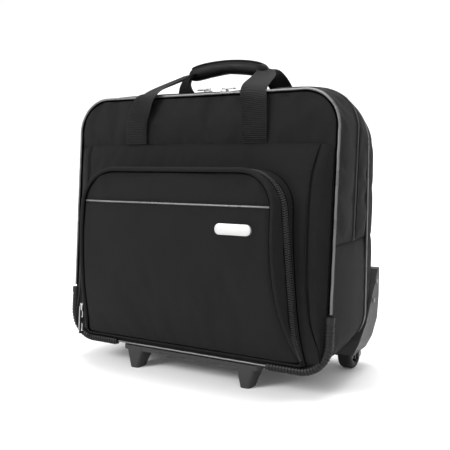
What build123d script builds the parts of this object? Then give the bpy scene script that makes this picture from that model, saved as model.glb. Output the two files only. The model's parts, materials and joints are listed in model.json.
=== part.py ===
"""Soft-sided rolling pilot case on two wheels and a two-foot front stand.

Millimetres. +Z is up, +X is the right of the front view, and the front faces -Y. z = 0 is the floor,
x = 0 is the middle of the case, and y = 0 is midway between its foremost and rearmost points.
"""
from build123d import *
from math import atan2, cos, sin
import os

os.makedirs("parts", exist_ok=True)

# ---- driving dimensions -------------------------------------------------------------------------
CASE_WIDTH = 440
CASE_HEIGHT = 377            # bottom of the case to the top edge of its front face
CROWN = 9                    # how far the top bulges above that edge
BASE_Z = 37                  # bottom of the case above the floor
FRONT_Y = -78.7              # lower edge of the front face
LEAN = 31.7                  # how far the front face leans back over its height
BACK_Y = 112                 # outer face of the back panel
SKIN = 3                     # fabric wall with its foam
FABRIC = 1.6                 # single-ply pocket fabric
LID_SKIN = 2                 # padded front of the organiser pocket
TOP_CORNER_R = 51            # corner radii of the front face
LOW_CORNER_R = 41

ZIP_DEPTH = 72               # main zip, behind the front face
ZIP_TAPE = 16                # width of the main zip's tape
TEETH_WIDTH = 3.6
TEETH_HEIGHT = 1.2
SEAM_Z = 207                 # side seam where the main zip ends
REAR_SEAM_Y = 66             # seam of the trolley section, under the rear piping
PIPING_R = 2.2
PIPING_SUNK = 0.5            # how deep the rear piping sits in the fabric
GUARD_R = 5.2                # corner guard's tube
GUARD_TOP = 78               # where the guard starts, up the front face
GUARD_END_X = 130            # where it ends under the case
GUARD_GAP = 0.5              # between the guard and the piping that meets it
RIB_PITCH = 4.6
RIB_WIDTH = 2.4
RIB_R = 6.2

SLIP_TOP = 306               # mouth of the slip pocket, up the front face
SLIP_LOW = 8
LID_TOP = 268                # top of the organiser pocket, up the front face
LID_LOW = 8
POCKET_TOP_R = 56            # corner radii of the organiser pocket
POCKET_LOW_R = 20
SLIP_CORNER_R = 30
ZIP_END = 40                 # height above the case bottom where the pocket zip ends
LID_GAP = 0.3                # between the lid and the pocket wall behind it
TRIM_UP = 218                # silver line across the lid
TRIM_OUT = 61.8
TRIM_R = 2
TRIM_HALF = 156
BADGE_SIZE = (55, 15)
BADGE_AT = (104, 187)
BADGE_OUT = (58, 64.17)         # the badge is cut out of the space between these depths

# Ends of the pocket slider's run, as (x, up, out) on the left wall of the organiser pocket.
POCKET_SLIDER_LOW = (182.6, 50, 22.8)
POCKET_SLIDER_HIGH = (168.6, 213, 38)

STRAP_X = 102
STRAP_WIDTH = 40
STRAP_SEWN = (307, 353)      # sewn length of the straps, up the front face
WEBBING = 2.2
GRIP_HALF = 67               # half length of the padded wrap
GRIP_Y = 42
GRIP_Z = 461
GRIP_ARCH = 6
GRIP_RADII = (13, 14)        # across and up

WHEEL_R = 25
WHEEL_WIDTH = 22
WHEEL_X = 190
WHEEL_Y = 88
HUB_R = 17
AXLE_R = 3
AXLE_HEAD_R = 5
RUNNING_GAP = 0.05           # radial clearance of the hubs on their axles
AXLE_GAP = 0.02              # radial clearance of the axles in their housings
WELL_GAP = 2.5               # between a tyre and its well
WELL_WALL = 2.5
HOUSING_LOW = 27
HOUSING_TOP = 154

TUBE_X = 115
TUBE_Y = 86
TUBE_GAP = 0.15              # on each side, between nested tubes
OUTER_TUBE = (24, 14)
MIDDLE_TUBE = (21.3, 11.3)
INNER_TUBE = (19.0, 9.0)
OUTER_WALL = 1.2
MIDDLE_WALL = 1.0
INNER_WALL = 1.4
BRACKET_Z = (43.2, 49.2)     # lower tube bracket
BEZEL_SIZE = (284, 32)
BEZEL_FLOOR = (384, 390)
BEZEL_TOP = 422
COLLAR_TOP = 393.3
TROLLEY_Z = (393.6, 421)     # bottom and top of the trolley grip
TUBE_END = 403               # inner tubes end inside the grip
BAR_Z = (409, 412)           # cross bar of the push rods

FOOT_X = 97
STAND_LOW = 27               # underside of the stand's bar

PIVOT_LIFT = 5               # pull's pivot above the bottom of its slider
PULL_BAR_R = 0.8

# ---- planes -------------------------------------------------------------------------------------
TILT = atan2(LEAN, CASE_HEIGHT)
OUTWARD = (0, -cos(TILT), sin(TILT))
UPWARD = (0, sin(TILT), cos(TILT))
FACE_HEIGHT = CASE_HEIGHT / cos(TILT)
# On FRONT, x is across the case and y is up its front face.
FRONT = Plane(origin=(0, FRONT_Y, BASE_Z), x_dir=(1, 0, 0), z_dir=OUTWARD)
# On PROFILE, x is the distance out from the front face and y is the height up it.
PROFILE = Plane(origin=(0, FRONT_Y, BASE_Z), x_dir=OUTWARD, z_dir=(-1, 0, 0))
WHEEL_PLANE = Plane(origin=(WHEEL_X, WHEEL_Y, WHEEL_R), x_dir=(0, 1, 0), z_dir=(1, 0, 0))
AXLE_HEAD_PLANE = WHEEL_PLANE.offset(WHEEL_WIDTH / 2 + WELL_GAP + WELL_WALL)
SIDE = Plane.YZ
HALF = CASE_WIDTH / 2
REACH = 300                  # longer than any cut has to be

# Side views of the pockets, as (out, up) points on PROFILE.
SLIP_CURVE = [(2.6, SLIP_TOP), (9, 292), (15, 262), (22, 205), (21, 134), (12, 40), (4, SLIP_LOW)]
LID_CURVE = [(56, 275), (60, 240), (62.2, 190), (57.5, 134), (45, 84), (25, 40), (7, LID_LOW)]
ZIP_LINE = [(42, 275), (38, 213), (22, 45), (4.6, LID_LOW)]


def in_face(z, out):
    """Height up a plane parallel to the front face, for a height z above the floor."""
    return (z - BASE_Z - out * sin(TILT)) / cos(TILT)


def on_front(x, up, out):
    """Point at x, at a height up the front face and a distance out from it."""
    return FRONT.from_local_coords(Vector(x, up, out))


def shifted(points, out):
    """The same side-view curve, moved out from the front face."""
    return [(x + out, y) for x, y in points]


def save(piece, name):
    """Label a finished piece and write it to its own file."""
    piece.part.label = name
    export_step(piece.part, f"parts/{name}.step")


# ---- shared volumes -----------------------------------------------------------------------------
def case_volume(inset):
    """The whole case as one closed volume, taken in by inset on every side."""
    back = Plane.XZ.offset(-BACK_Y + inset)
    crown_z = BASE_Z + CASE_HEIGHT + CROWN
    sections = [
        # plane, low, high, width, top corner radius, lower corner radius
        (FRONT.offset(-inset), in_face(BASE_Z, -inset), FACE_HEIGHT, CASE_WIDTH,
         TOP_CORNER_R, LOW_CORNER_R),
        (FRONT.offset(-ZIP_DEPTH), in_face(BASE_Z, -ZIP_DEPTH), in_face(crown_z, -ZIP_DEPTH),
         CASE_WIDTH + 4, 62, 46),
        (Plane.XZ.offset(-REAR_SEAM_Y), BASE_Z, crown_z - 2, CASE_WIDTH, 80, 60),
        (Plane.XZ.offset(-BACK_Y + 14), BASE_Z, crown_z - 5, CASE_WIDTH - 4, 88, 66),
        (back, BASE_Z + 8, crown_z - 15, CASE_WIDTH - 28, 78, 56),
    ]
    with BuildPart() as volume:
        for plane, low, high, width, top_r, low_r in sections:
            with BuildSketch(plane) as section:
                with Locations((0, (low + high) / 2)):
                    Rectangle(width - 2 * inset, high - low - 2 * inset)
                fillet(section.vertices().group_by(Axis.Y)[0], low_r - inset)
                fillet(section.vertices().group_by(Axis.Y)[-1], top_r - inset)
        loft(ruled=True)
    return volume.part


def wheel_wells():
    """Space that each wheel well and its wall take out of the case, on both sides."""
    radius = WHEEL_R + WELL_GAP + WELL_WALL
    with BuildPart() as wells:
        with BuildSketch(WHEEL_PLANE):
            Circle(radius)
        extrude(amount=WHEEL_WIDTH / 2 + WELL_GAP + WELL_WALL, both=True)
        split(bisect_by=Plane.XY.offset(HOUSING_LOW), keep=Keep.TOP)
        mirror(about=Plane.YZ)
    return wells.part


def bezel_block():
    """Space that the trolley bezel takes out of the top of the case."""
    with BuildPart() as block:
        with BuildSketch(Plane.XY.offset(BEZEL_FLOOR[0])):
            with Locations((0, TUBE_Y)):
                RectangleRounded(*BEZEL_SIZE, 5)
        extrude(amount=BEZEL_TOP - BEZEL_FLOOR[0])
    return block.part


def organiser_volume(inset):
    """The organiser pocket's outline, wide at the back and narrower at the front."""
    outlines = [
        # out, half width at the top, half width at the bottom
        (0, 168, 192),
        (70, 159, 161),
    ]
    with BuildPart() as volume:
        for out, top_half, low_half in outlines:
            with BuildSketch(FRONT.offset(out)) as outline:
                Polygon(
                    (top_half - inset, LID_TOP - inset), (-top_half + inset, LID_TOP - inset),
                    (-low_half + inset, LID_LOW + inset), (low_half - inset, LID_LOW + inset),
                    align=None)
                fillet(outline.vertices().group_by(Axis.Y)[-1], POCKET_TOP_R - inset)
                fillet(outline.vertices().group_by(Axis.Y)[0], POCKET_LOW_R - inset)
        loft(ruled=True)
    return volume.part


def slip_outline(inset):
    """The slip pocket as seen from the front."""
    right = [(198, SLIP_TOP), (189, 262), (187, 110), (206, 44), (206, SLIP_LOW)]
    right = [(x - inset, max(y, SLIP_LOW + inset)) for x, y in right]
    left = [(-x, y) for x, y in reversed(right)]
    with BuildSketch() as outline:
        Polygon(*right, *left, align=None)
        fillet(outline.vertices().group_by(Axis.Y)[0], SLIP_CORNER_R - inset)
    return outline.sketch


def across(front, rear, half=HALF, rear_is_curve=True):
    """Solid across the case between two side-view lines, given as (out, up) listed downwards."""
    with BuildPart() as solid:
        with BuildSketch(PROFILE):
            with BuildLine():
                outer = Spline(*front)
                inner = Spline(*rear) if rear_is_curve else Polyline(*rear)
                Line(outer @ 0, inner @ 0)
                Line(outer @ 1, inner @ 1)
            make_face()
        extrude(amount=half, both=True)
    return solid.part


def strip_across(line, width):
    """Solid across the case that follows a side-view line, width thick to its front."""
    with BuildPart() as solid:
        with BuildSketch(PROFILE):
            with BuildLine():
                Polyline(*line, *reversed(shifted(line, width)), close=True)
            make_face()
        extrude(amount=HALF, both=True)
    return solid.part


OUTER = case_volume(0)
INNER = case_volume(SKIN)
WELLS = wheel_wells()
BEZEL_BLOCK = bezel_block()
POCKET = organiser_volume(0)
POCKET_INSIDE = organiser_volume(FABRIC)
ZIP_FRONT = FRONT.offset(-ZIP_DEPTH + ZIP_TAPE / 2)
ZIP_REAR = FRONT.offset(-ZIP_DEPTH - ZIP_TAPE / 2)
REAR_SEAM = Plane.XZ.offset(-REAR_SEAM_Y)
BACK_INSIDE = Plane.XZ.offset(-BACK_Y + SKIN)


def wall(front_cut, rear_cut):
    """Ring of the case's wall between two planes that face the front."""
    with BuildPart() as ring:
        add(OUTER)
        add(INNER, mode=Mode.SUBTRACT)
        split(bisect_by=front_cut, keep=Keep.BOTTOM)
        split(bisect_by=rear_cut, keep=Keep.TOP)
    return ring.part


# ---- case walls ---------------------------------------------------------------------------------
def make_walls():
    with BuildPart() as front_panel:
        add(OUTER)
        split(bisect_by=FRONT.offset(-SKIN), keep=Keep.TOP)
    save(front_panel, "front_panel")

    with BuildPart() as upper_front_gusset:
        add(wall(FRONT.offset(-SKIN), ZIP_FRONT))
        split(bisect_by=Plane.XY.offset(SEAM_Z), keep=Keep.TOP)
    save(upper_front_gusset, "upper_front_gusset")

    with BuildPart() as main_zip_tape:
        add(wall(ZIP_FRONT, ZIP_REAR))
        split(bisect_by=Plane.XY.offset(SEAM_Z), keep=Keep.TOP)
    save(main_zip_tape, "main_zip_tape")

    with BuildPart() as upper_rear_gusset:
        add(wall(ZIP_REAR, REAR_SEAM))
        split(bisect_by=Plane.XY.offset(SEAM_Z), keep=Keep.TOP)
    save(upper_rear_gusset, "upper_rear_gusset")

    with BuildPart() as lower_gusset:
        add(wall(FRONT.offset(-SKIN), REAR_SEAM))
        split(bisect_by=Plane.XY.offset(SEAM_Z), keep=Keep.BOTTOM)
        add(WELLS, mode=Mode.SUBTRACT)
    save(lower_gusset, "lower_gusset")

    with BuildPart() as rear_gusset:
        add(wall(REAR_SEAM, BACK_INSIDE))
        add(WELLS, mode=Mode.SUBTRACT)
        add(BEZEL_BLOCK, mode=Mode.SUBTRACT)
    save(rear_gusset, "rear_gusset")

    with BuildPart() as back_panel:
        add(OUTER)
        split(bisect_by=BACK_INSIDE, keep=Keep.BOTTOM)
        add(WELLS, mode=Mode.SUBTRACT)
    save(back_panel, "back_panel")


def make_main_zip_teeth():
    with BuildPart() as main_zip_teeth:
        add(case_volume(-TEETH_HEIGHT))
        add(OUTER, mode=Mode.SUBTRACT)
        split(bisect_by=FRONT.offset(-ZIP_DEPTH + TEETH_WIDTH / 2), keep=Keep.BOTTOM)
        split(bisect_by=FRONT.offset(-ZIP_DEPTH - TEETH_WIDTH / 2), keep=Keep.TOP)
        split(bisect_by=Plane.XY.offset(SEAM_Z), keep=Keep.TOP)
    save(main_zip_teeth, "main_zip_teeth")


# ---- piping and corner guards -------------------------------------------------------------------
def make_front_piping():
    """Silver piping over the front edge, and its straight run along the bottom."""
    bend_up = FACE_HEIGHT - TOP_CORNER_R
    bend_x = HALF - TOP_CORNER_R
    with BuildPart() as front_piping:
        with BuildLine(FRONT) as edge:
            Line((-HALF, GUARD_TOP), (-HALF, bend_up))
            CenterArc((-bend_x, bend_up), TOP_CORNER_R, 180, -90)
            Line((-bend_x, FACE_HEIGHT), (bend_x, FACE_HEIGHT))
            CenterArc((bend_x, bend_up), TOP_CORNER_R, 90, -90)
            Line((HALF, bend_up), (HALF, GUARD_TOP))
        with BuildSketch(Plane(origin=edge.line @ 0, z_dir=edge.line % 0)):
            Circle(PIPING_R)
        sweep()
        with BuildSketch(Plane.YZ.offset(-GUARD_END_X)):
            with Locations((FRONT_Y, BASE_Z)):
                Circle(PIPING_R)
        extrude(amount=2 * GUARD_END_X)
        add(OUTER, mode=Mode.SUBTRACT)
    save(front_piping, "front_piping")


def make_rear_piping():
    with BuildPart() as rear_piping:
        add(case_volume(-PIPING_R + PIPING_SUNK))
        add(OUTER, mode=Mode.SUBTRACT)
        split(bisect_by=Plane.XZ.offset(-REAR_SEAM_Y + PIPING_R), keep=Keep.BOTTOM)
        split(bisect_by=Plane.XZ.offset(-REAR_SEAM_Y - PIPING_R), keep=Keep.TOP)
        split(bisect_by=Plane.XY.offset(BASE_Z + LOW_CORNER_R / 2), keep=Keep.TOP)
        add(HOUSING_RIGHT.part, mode=Mode.SUBTRACT)
        add(HOUSING_LEFT.part, mode=Mode.SUBTRACT)
    save(rear_piping, "rear_piping")


def make_corner_guards():
    """Ribbed rubber guards round the lower front corners, with a smooth sleeve at the top."""
    bend_x = HALF - LOW_CORNER_R
    with BuildPart() as corner_guard_right:
        with BuildLine(FRONT) as edge:
            Line((HALF, GUARD_TOP - GUARD_GAP), (HALF, LOW_CORNER_R))
            CenterArc((bend_x, LOW_CORNER_R), LOW_CORNER_R, 0, -90)
            Line((bend_x, 0), (GUARD_END_X + GUARD_GAP, 0))
        with BuildSketch(Plane(origin=edge.line @ 0, z_dir=edge.line % 0)):
            Circle(GUARD_R)
        sweep()
        run = edge.wire()
        ribs = int(run.length / RIB_PITCH)
        with Locations(*[run ^ (i / ribs) for i in range(3, ribs)]):
            Cylinder(RIB_R, RIB_WIDTH)
        with Locations(run ^ (1 / ribs)):
            Cylinder(RIB_R, 2 * RIB_PITCH)
        add(OUTER, mode=Mode.SUBTRACT)
    save(corner_guard_right, "corner_guard_right")

    with BuildPart() as corner_guard_left:
        mirror(corner_guard_right.part, about=Plane.YZ)
    save(corner_guard_left, "corner_guard_left")


# ---- slip pocket --------------------------------------------------------------------------------
def make_slip_pocket():
    sheet = across(SLIP_CURVE, shifted(SLIP_CURVE, -FABRIC))
    body = across(SLIP_CURVE, [(0, SLIP_TOP), (0, SLIP_LOW)], rear_is_curve=False)
    outline = slip_outline(0)
    inner_outline = slip_outline(FABRIC)

    with BuildPart() as slip_pocket_panel:
        with BuildSketch(FRONT):
            add(inner_outline)
        extrude(amount=REACH)
        add(sheet, mode=Mode.INTERSECT)
    save(slip_pocket_panel, "slip_pocket_panel")

    with BuildPart() as slip_pocket_gussets:
        with BuildSketch(FRONT):
            add(outline)
            add(inner_outline, mode=Mode.SUBTRACT)
        extrude(amount=REACH)
        add(body, mode=Mode.INTERSECT)
    save(slip_pocket_gussets, "slip_pocket_gussets")


# ---- organiser pocket, case side ----------------------------------------------------------------
def make_organiser():
    wall_band = across(SLIP_CURVE, ZIP_LINE, rear_is_curve=False)
    teeth_band = strip_across(ZIP_LINE, -TEETH_WIDTH / 2)
    board_size = (240, 200)
    board_up = 130
    board_band = across(shifted(SLIP_CURVE, 2.2), shifted(SLIP_CURVE, 0.2), half=board_size[0] / 2)
    teeth_reach = organiser_volume(-TEETH_HEIGHT)
    card_pocket = (96, 110)
    card_pocket_at = (-62, 115)
    pen_r = 6
    pen_bore_r = 4.8
    pen_pitch = 20
    pen_length = 35
    pens = Plane(origin=on_front(60, 150, 32.5), x_dir=(1, 0, 0), z_dir=UPWARD)

    with BuildPart() as organiser_wall:
        add(wall_band)
        add(POCKET, mode=Mode.INTERSECT)
        add(POCKET_INSIDE, mode=Mode.SUBTRACT)
    save(organiser_wall, "organiser_wall")

    with BuildPart() as organiser_teeth:
        add(teeth_band)
        add(teeth_reach, mode=Mode.INTERSECT)
        add(POCKET, mode=Mode.SUBTRACT)
        split(bisect_by=Plane.XY.offset(BASE_Z + ZIP_END), keep=Keep.TOP)
    save(organiser_teeth, "organiser_teeth")

    with BuildPart() as organiser_board:
        with BuildSketch(FRONT):
            with Locations((0, board_up)):
                RectangleRounded(*board_size, 12)
        extrude(amount=REACH)
        add(board_band, mode=Mode.INTERSECT)
        with BuildSketch(FRONT.offset(23)):
            with Locations(card_pocket_at):
                RectangleRounded(*card_pocket, 6)
        extrude(amount=4)
    save(organiser_board, "organiser_board")

    with BuildPart() as pen_loops:
        with BuildSketch(pens):
            with GridLocations(pen_pitch, 1, 3, 1):
                Circle(pen_r)
                Circle(pen_bore_r, mode=Mode.SUBTRACT)
        extrude(amount=pen_length)
    save(pen_loops, "pen_loops")


# ---- organiser pocket, lid ----------------------------------------------------------------------
def make_lid():
    rear = shifted(ZIP_LINE, LID_GAP)
    panel_band = across(LID_CURVE, shifted(LID_CURVE, -LID_SKIN))
    wall_band = across(LID_CURVE, rear, rear_is_curve=False)
    teeth_band = strip_across(rear, TEETH_WIDTH / 2)
    piping_width = 4
    piping_band = across(LID_CURVE, shifted(LID_CURVE, -piping_width))
    behind_lid = across(LID_CURVE, [(0, 275), (0, LID_LOW)], rear_is_curve=False)
    teeth_reach = organiser_volume(-TEETH_HEIGHT)
    piping_reach = organiser_volume(-2)

    with BuildPart() as lid_panel:
        add(panel_band)
        add(POCKET_INSIDE, mode=Mode.INTERSECT)
    save(lid_panel, "lid_panel")

    with BuildPart() as lid_wall:
        add(wall_band)
        add(POCKET, mode=Mode.INTERSECT)
        add(POCKET_INSIDE, mode=Mode.SUBTRACT)
    save(lid_wall, "lid_wall")

    with BuildPart() as lid_teeth:
        add(teeth_band)
        add(teeth_reach, mode=Mode.INTERSECT)
        add(POCKET, mode=Mode.SUBTRACT)
        split(bisect_by=Plane.XY.offset(BASE_Z + ZIP_END), keep=Keep.TOP)
    save(lid_teeth, "lid_teeth")

    with BuildPart() as lid_piping:
        add(piping_band)
        add(piping_reach, mode=Mode.INTERSECT)
        add(POCKET, mode=Mode.SUBTRACT)
        split(bisect_by=Plane.XY.offset(BASE_Z + 55), keep=Keep.TOP)
    save(lid_piping, "lid_piping")

    with BuildPart() as lid_trim:
        with BuildSketch(PROFILE):
            with Locations((TRIM_OUT, TRIM_UP)):
                Circle(TRIM_R)
        extrude(amount=TRIM_HALF, both=True)
        add(behind_lid, mode=Mode.SUBTRACT)
    save(lid_trim, "lid_trim")

    with BuildPart() as badge:
        with BuildSketch(FRONT.offset(BADGE_OUT[0])):
            with Locations(BADGE_AT):
                SlotOverall(*BADGE_SIZE)
        extrude(amount=BADGE_OUT[1] - BADGE_OUT[0])
        add(behind_lid, mode=Mode.SUBTRACT)
    save(badge, "badge")


# ---- inside the case ----------------------------------------------------------------------------
def make_inside():
    hoop_depth = 8
    board_size = (322, 124)
    board_y = -6
    sleeve_low, sleeve_high = 60, 318
    sleeve_y = (38, 58)
    sleeve_half = 196
    strap_front_y, strap_rear_y = 35.4, 65.6
    strap_low, strap_top = 280, 322.2
    strap_ply = 2.2

    with BuildPart() as divider:
        add(INNER)
        split(bisect_by=REAR_SEAM, keep=Keep.BOTTOM)
        split(bisect_by=Plane.XZ.offset(-REAR_SEAM_Y - SKIN), keep=Keep.TOP)
        add(WELLS, mode=Mode.SUBTRACT)
    save(divider, "divider")

    with BuildPart() as hoop_stiffener:
        add(INNER)
        add(case_volume(2 * SKIN), mode=Mode.SUBTRACT)
        split(bisect_by=Plane.XZ.offset(-REAR_SEAM_Y + hoop_depth), keep=Keep.BOTTOM)
        split(bisect_by=REAR_SEAM, keep=Keep.TOP)
        add(WELLS, mode=Mode.SUBTRACT)
    save(hoop_stiffener, "hoop_stiffener")

    with BuildPart() as base_board:
        with BuildSketch(Plane.XY.offset(BASE_Z + SKIN)):
            with Locations((0, board_y)):
                RectangleRounded(*board_size, 8)
        extrude(amount=SKIN)
    save(base_board, "base_board")

    with BuildPart() as laptop_sleeve:
        with BuildSketch(Plane.XY.offset(sleeve_low)):
            with Locations((0, sleeve_y[0])):
                Rectangle(2 * sleeve_half, sleeve_y[1] - sleeve_y[0], align=(Align.CENTER, Align.MIN))
            with Locations((0, sleeve_y[0] + 5)):
                Rectangle(2 * (sleeve_half - SKIN), sleeve_y[1] - sleeve_y[0] - 5,
                          align=(Align.CENTER, Align.MIN), mode=Mode.SUBTRACT)
        extrude(amount=sleeve_high - sleeve_low)
    save(laptop_sleeve, "laptop_sleeve")

    with BuildPart() as laptop_strap:
        with BuildSketch(SIDE):
            with BuildLine():
                Polyline((strap_rear_y, 300), (strap_rear_y, strap_top),
                         (strap_front_y, strap_top), (strap_front_y, strap_low),
                         (strap_front_y + strap_ply, strap_low),
                         (strap_front_y + strap_ply, strap_top - strap_ply),
                         (strap_rear_y - strap_ply, strap_top - strap_ply),
                         (strap_rear_y - strap_ply, 300), close=True)
            make_face()
        extrude(amount=20, both=True)
    save(laptop_strap, "laptop_strap")


# ---- carry handle -------------------------------------------------------------------------------
def make_strap_ends():
    """The straps' sewn-down ends, on the front panel and on the top behind the main zip."""
    sewn_up = sum(STRAP_SEWN) / 2
    patch = (36, 18)
    patch_y = 53
    patch_z = (415, 424)
    with BuildPart() as strap_ends:
        with BuildSketch(FRONT):
            with Locations((STRAP_X, sewn_up), (-STRAP_X, sewn_up)):
                Rectangle(STRAP_WIDTH, STRAP_SEWN[1] - STRAP_SEWN[0])
        extrude(amount=2)
        with BuildSketch(Plane.XY.offset(patch_z[0])):
            with Locations((STRAP_X, patch_y), (-STRAP_X, patch_y)):
                Rectangle(*patch)
        extrude(amount=patch_z[1] - patch_z[0])
        add(OUTER, mode=Mode.SUBTRACT)
    save(strap_ends, "strap_ends")


def make_handle():
    front_path = [
        # centre, direction of the strap, width
        (on_front(STRAP_X, 340, 4.4), UPWARD, 40),
        (on_front(STRAP_X, 372, 9), UPWARD, 40),
        (on_front(STRAP_X - 3, 392, 5), (-0.15, 0.7, 0.7), 37),
        (Vector(86, 10, 442), (-0.35, 0.9, 0.25), 30),
        (Vector(72, 32, 452), (-0.5, 0.8, 0.3), 24),
    ]
    rear_path = [
        (Vector(106, 56, 434), (-0.8, -0.1, 0.55), 26),
        (Vector(76, 47, 453), (-0.9, -0.1, 0.4), 22),
    ]
    with BuildPart() as handle_wrap:
        with BuildLine(Plane.XZ.offset(-GRIP_Y)) as spine:
            ThreePointArc((-GRIP_HALF, GRIP_Z - GRIP_ARCH), (0, GRIP_Z),
                          (GRIP_HALF, GRIP_Z - GRIP_ARCH))
        with BuildSketch(Plane(origin=spine.line @ 0, x_dir=(0, 1, 0), z_dir=spine.line % 0)):
            Ellipse(*GRIP_RADII)
        sweep()
    save(handle_wrap, "handle_wrap")

    with BuildPart() as front_straps:
        for centre, direction, width in front_path:
            with BuildSketch(Plane(origin=centre, x_dir=(1, 0, 0), z_dir=direction)):
                Rectangle(width, WEBBING)
        loft(ruled=True)
        mirror(about=Plane.YZ)
        add(handle_wrap.part, mode=Mode.SUBTRACT)
    save(front_straps, "front_straps")

    with BuildPart() as rear_straps:
        for centre, direction, width in rear_path:
            with BuildSketch(Plane(origin=centre, x_dir=(0, 1, 0), z_dir=direction)):
                Rectangle(width, WEBBING)
        loft(ruled=True)
        mirror(about=Plane.YZ)
        add(handle_wrap.part, mode=Mode.SUBTRACT)
        add(front_straps.part, mode=Mode.SUBTRACT)
    save(rear_straps, "rear_straps")


# ---- telescopic handle --------------------------------------------------------------------------
def tube_pair(size, wall_thickness, low, high):
    """Two upright rectangular tubes, open at both ends."""
    with BuildPart() as tubes:
        with BuildSketch(Plane.XY.offset(low)):
            with Locations((TUBE_X, TUBE_Y), (-TUBE_X, TUBE_Y)):
                Rectangle(*size)
                Rectangle(size[0] - 2 * wall_thickness, size[1] - 2 * wall_thickness,
                          mode=Mode.SUBTRACT)
        extrude(amount=high - low)
    return tubes


def tube_holes(size, clearance, low, high):
    """Cutter for a pair of tubes to pass through, a little larger than they are."""
    with BuildPart() as cutter:
        with BuildSketch(Plane.XY.offset(low)):
            with Locations((TUBE_X, TUBE_Y), (-TUBE_X, TUBE_Y)):
                Rectangle(size[0] + 2 * clearance, size[1] + 2 * clearance)
        extrude(amount=high - low)
    return cutter.part


def rounded_block(size, corner_r, low, high):
    """Upright block with rounded corners, centred between the telescopic tubes."""
    with BuildPart() as block:
        with BuildSketch(Plane.XY.offset(low)):
            with Locations((0, TUBE_Y)):
                RectangleRounded(*size, corner_r)
        extrude(amount=high - low)
    return block.part


def make_telescope():
    middle_low, inner_low = 58, 66
    collar = (27, 17)
    collar_low = BEZEL_FLOOR[1] + 0.3
    collar_gap = 0.2

    save(tube_pair(OUTER_TUBE, OUTER_WALL, BRACKET_Z[1], BEZEL_FLOOR[1]), "outer_tubes")
    save(tube_pair(MIDDLE_TUBE, MIDDLE_WALL, middle_low, collar_low), "middle_tubes")
    save(tube_pair(INNER_TUBE, INNER_WALL, inner_low, TUBE_END), "inner_tubes")

    with BuildPart() as handle_bezel:
        add(BEZEL_BLOCK)
        add(rounded_block((266, 24), 3, BEZEL_FLOOR[1], BEZEL_TOP), mode=Mode.SUBTRACT)
        add(tube_holes(OUTER_TUBE, 0.1, *BEZEL_FLOOR), mode=Mode.SUBTRACT)
    save(handle_bezel, "handle_bezel")

    with BuildPart() as lower_bracket:
        add(rounded_block((270, 20), 4, *BRACKET_Z))
    save(lower_bracket, "lower_bracket")

    with BuildPart() as middle_collars:
        with BuildSketch(Plane.XY.offset(collar_low)):
            with Locations((TUBE_X, TUBE_Y), (-TUBE_X, TUBE_Y)):
                RectangleRounded(*collar, 3)
                Rectangle(INNER_TUBE[0] + 2 * collar_gap, INNER_TUBE[1] + 2 * collar_gap,
                          mode=Mode.SUBTRACT)
        extrude(amount=COLLAR_TOP - collar_low)
    save(middle_collars, "middle_collars")


def make_trolley_grip():
    """Grip across the inner tubes, hollow for the button and the bar it pushes."""
    button = (40, 10)
    button_r = 4
    button_gap = 0.3
    bar_room = 0.6
    rod_low = 90
    rod_r = 1.5

    with BuildPart() as trolley_grip:
        add(rounded_block((262, 21.6), 7, *TROLLEY_Z))
        fillet(trolley_grip.edges().group_by(Axis.Z)[-1], 4)
        add(rounded_block((244, 11), 3, TUBE_END + 0.4, BAR_Z[1] + bar_room + 0.4), mode=Mode.SUBTRACT)
        add(rounded_block((button[0] + 2 * button_gap, button[1] + 2 * button_gap),
                          button_r + button_gap, BAR_Z[1], TROLLEY_Z[1] + 1), mode=Mode.SUBTRACT)
        add(tube_holes(INNER_TUBE, 0.05, TROLLEY_Z[0], TUBE_END + 0.5), mode=Mode.SUBTRACT)
    save(trolley_grip, "trolley_grip")

    with BuildPart() as release_button:
        add(rounded_block(button, button_r, BAR_Z[1], TROLLEY_Z[1] + 2))
        fillet(release_button.edges().group_by(Axis.Z)[-1], 1.2)
    save(release_button, "release_button")

    with BuildPart() as push_rods:
        add(rounded_block((236, 5), 2, *BAR_Z))
        with BuildSketch(Plane.XY.offset(rod_low)):
            with Locations((TUBE_X, TUBE_Y), (-TUBE_X, TUBE_Y)):
                Circle(rod_r)
        extrude(amount=BAR_Z[0] - rod_low)
    save(push_rods, "push_rods")


# ---- stand and wheels ---------------------------------------------------------------------------
def make_stand():
    """Bar under the front edge with a tapered foot near each end."""
    sole, root = (16, 23), (36, 38)
    sole_y, root_y = -70.5, -61
    bar = (236, 26)
    bar_y = -67
    groove_y = -85.5
    groove = (20, 6.4)
    corner_r = 5
    screw_r = 4
    screw_height = 1.6
    screw_pitch = 36

    with BuildPart() as stand:
        with BuildSketch(Plane.XY):
            with Locations((FOOT_X, sole_y)):
                RectangleRounded(*sole, corner_r)
        with BuildSketch(Plane.XY.offset(BASE_Z)):
            with Locations((FOOT_X, root_y)):
                RectangleRounded(*root, corner_r)
        loft()
        mirror(about=Plane.YZ)
        with BuildSketch(Plane.XY.offset(STAND_LOW)):
            with Locations((0, bar_y)):
                RectangleRounded(*bar, corner_r)
        extrude(amount=BASE_Z - STAND_LOW)
        with BuildSketch(SIDE):
            with Locations((groove_y, BASE_Z)):
                Rectangle(*groove)
        extrude(amount=REACH, both=True, mode=Mode.SUBTRACT)
    save(stand, "stand")

    with BuildPart() as stand_screws:
        with BuildSketch(Plane.XY.offset(STAND_LOW - screw_height)):
            with Locations((0, bar_y + 1)):
                with GridLocations(screw_pitch, 1, 4, 1):
                    Circle(screw_r)
        extrude(amount=screw_height)
        fillet(stand_screws.edges().group_by(Axis.Z)[0], 1)
    save(stand_screws, "stand_screws")


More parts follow.
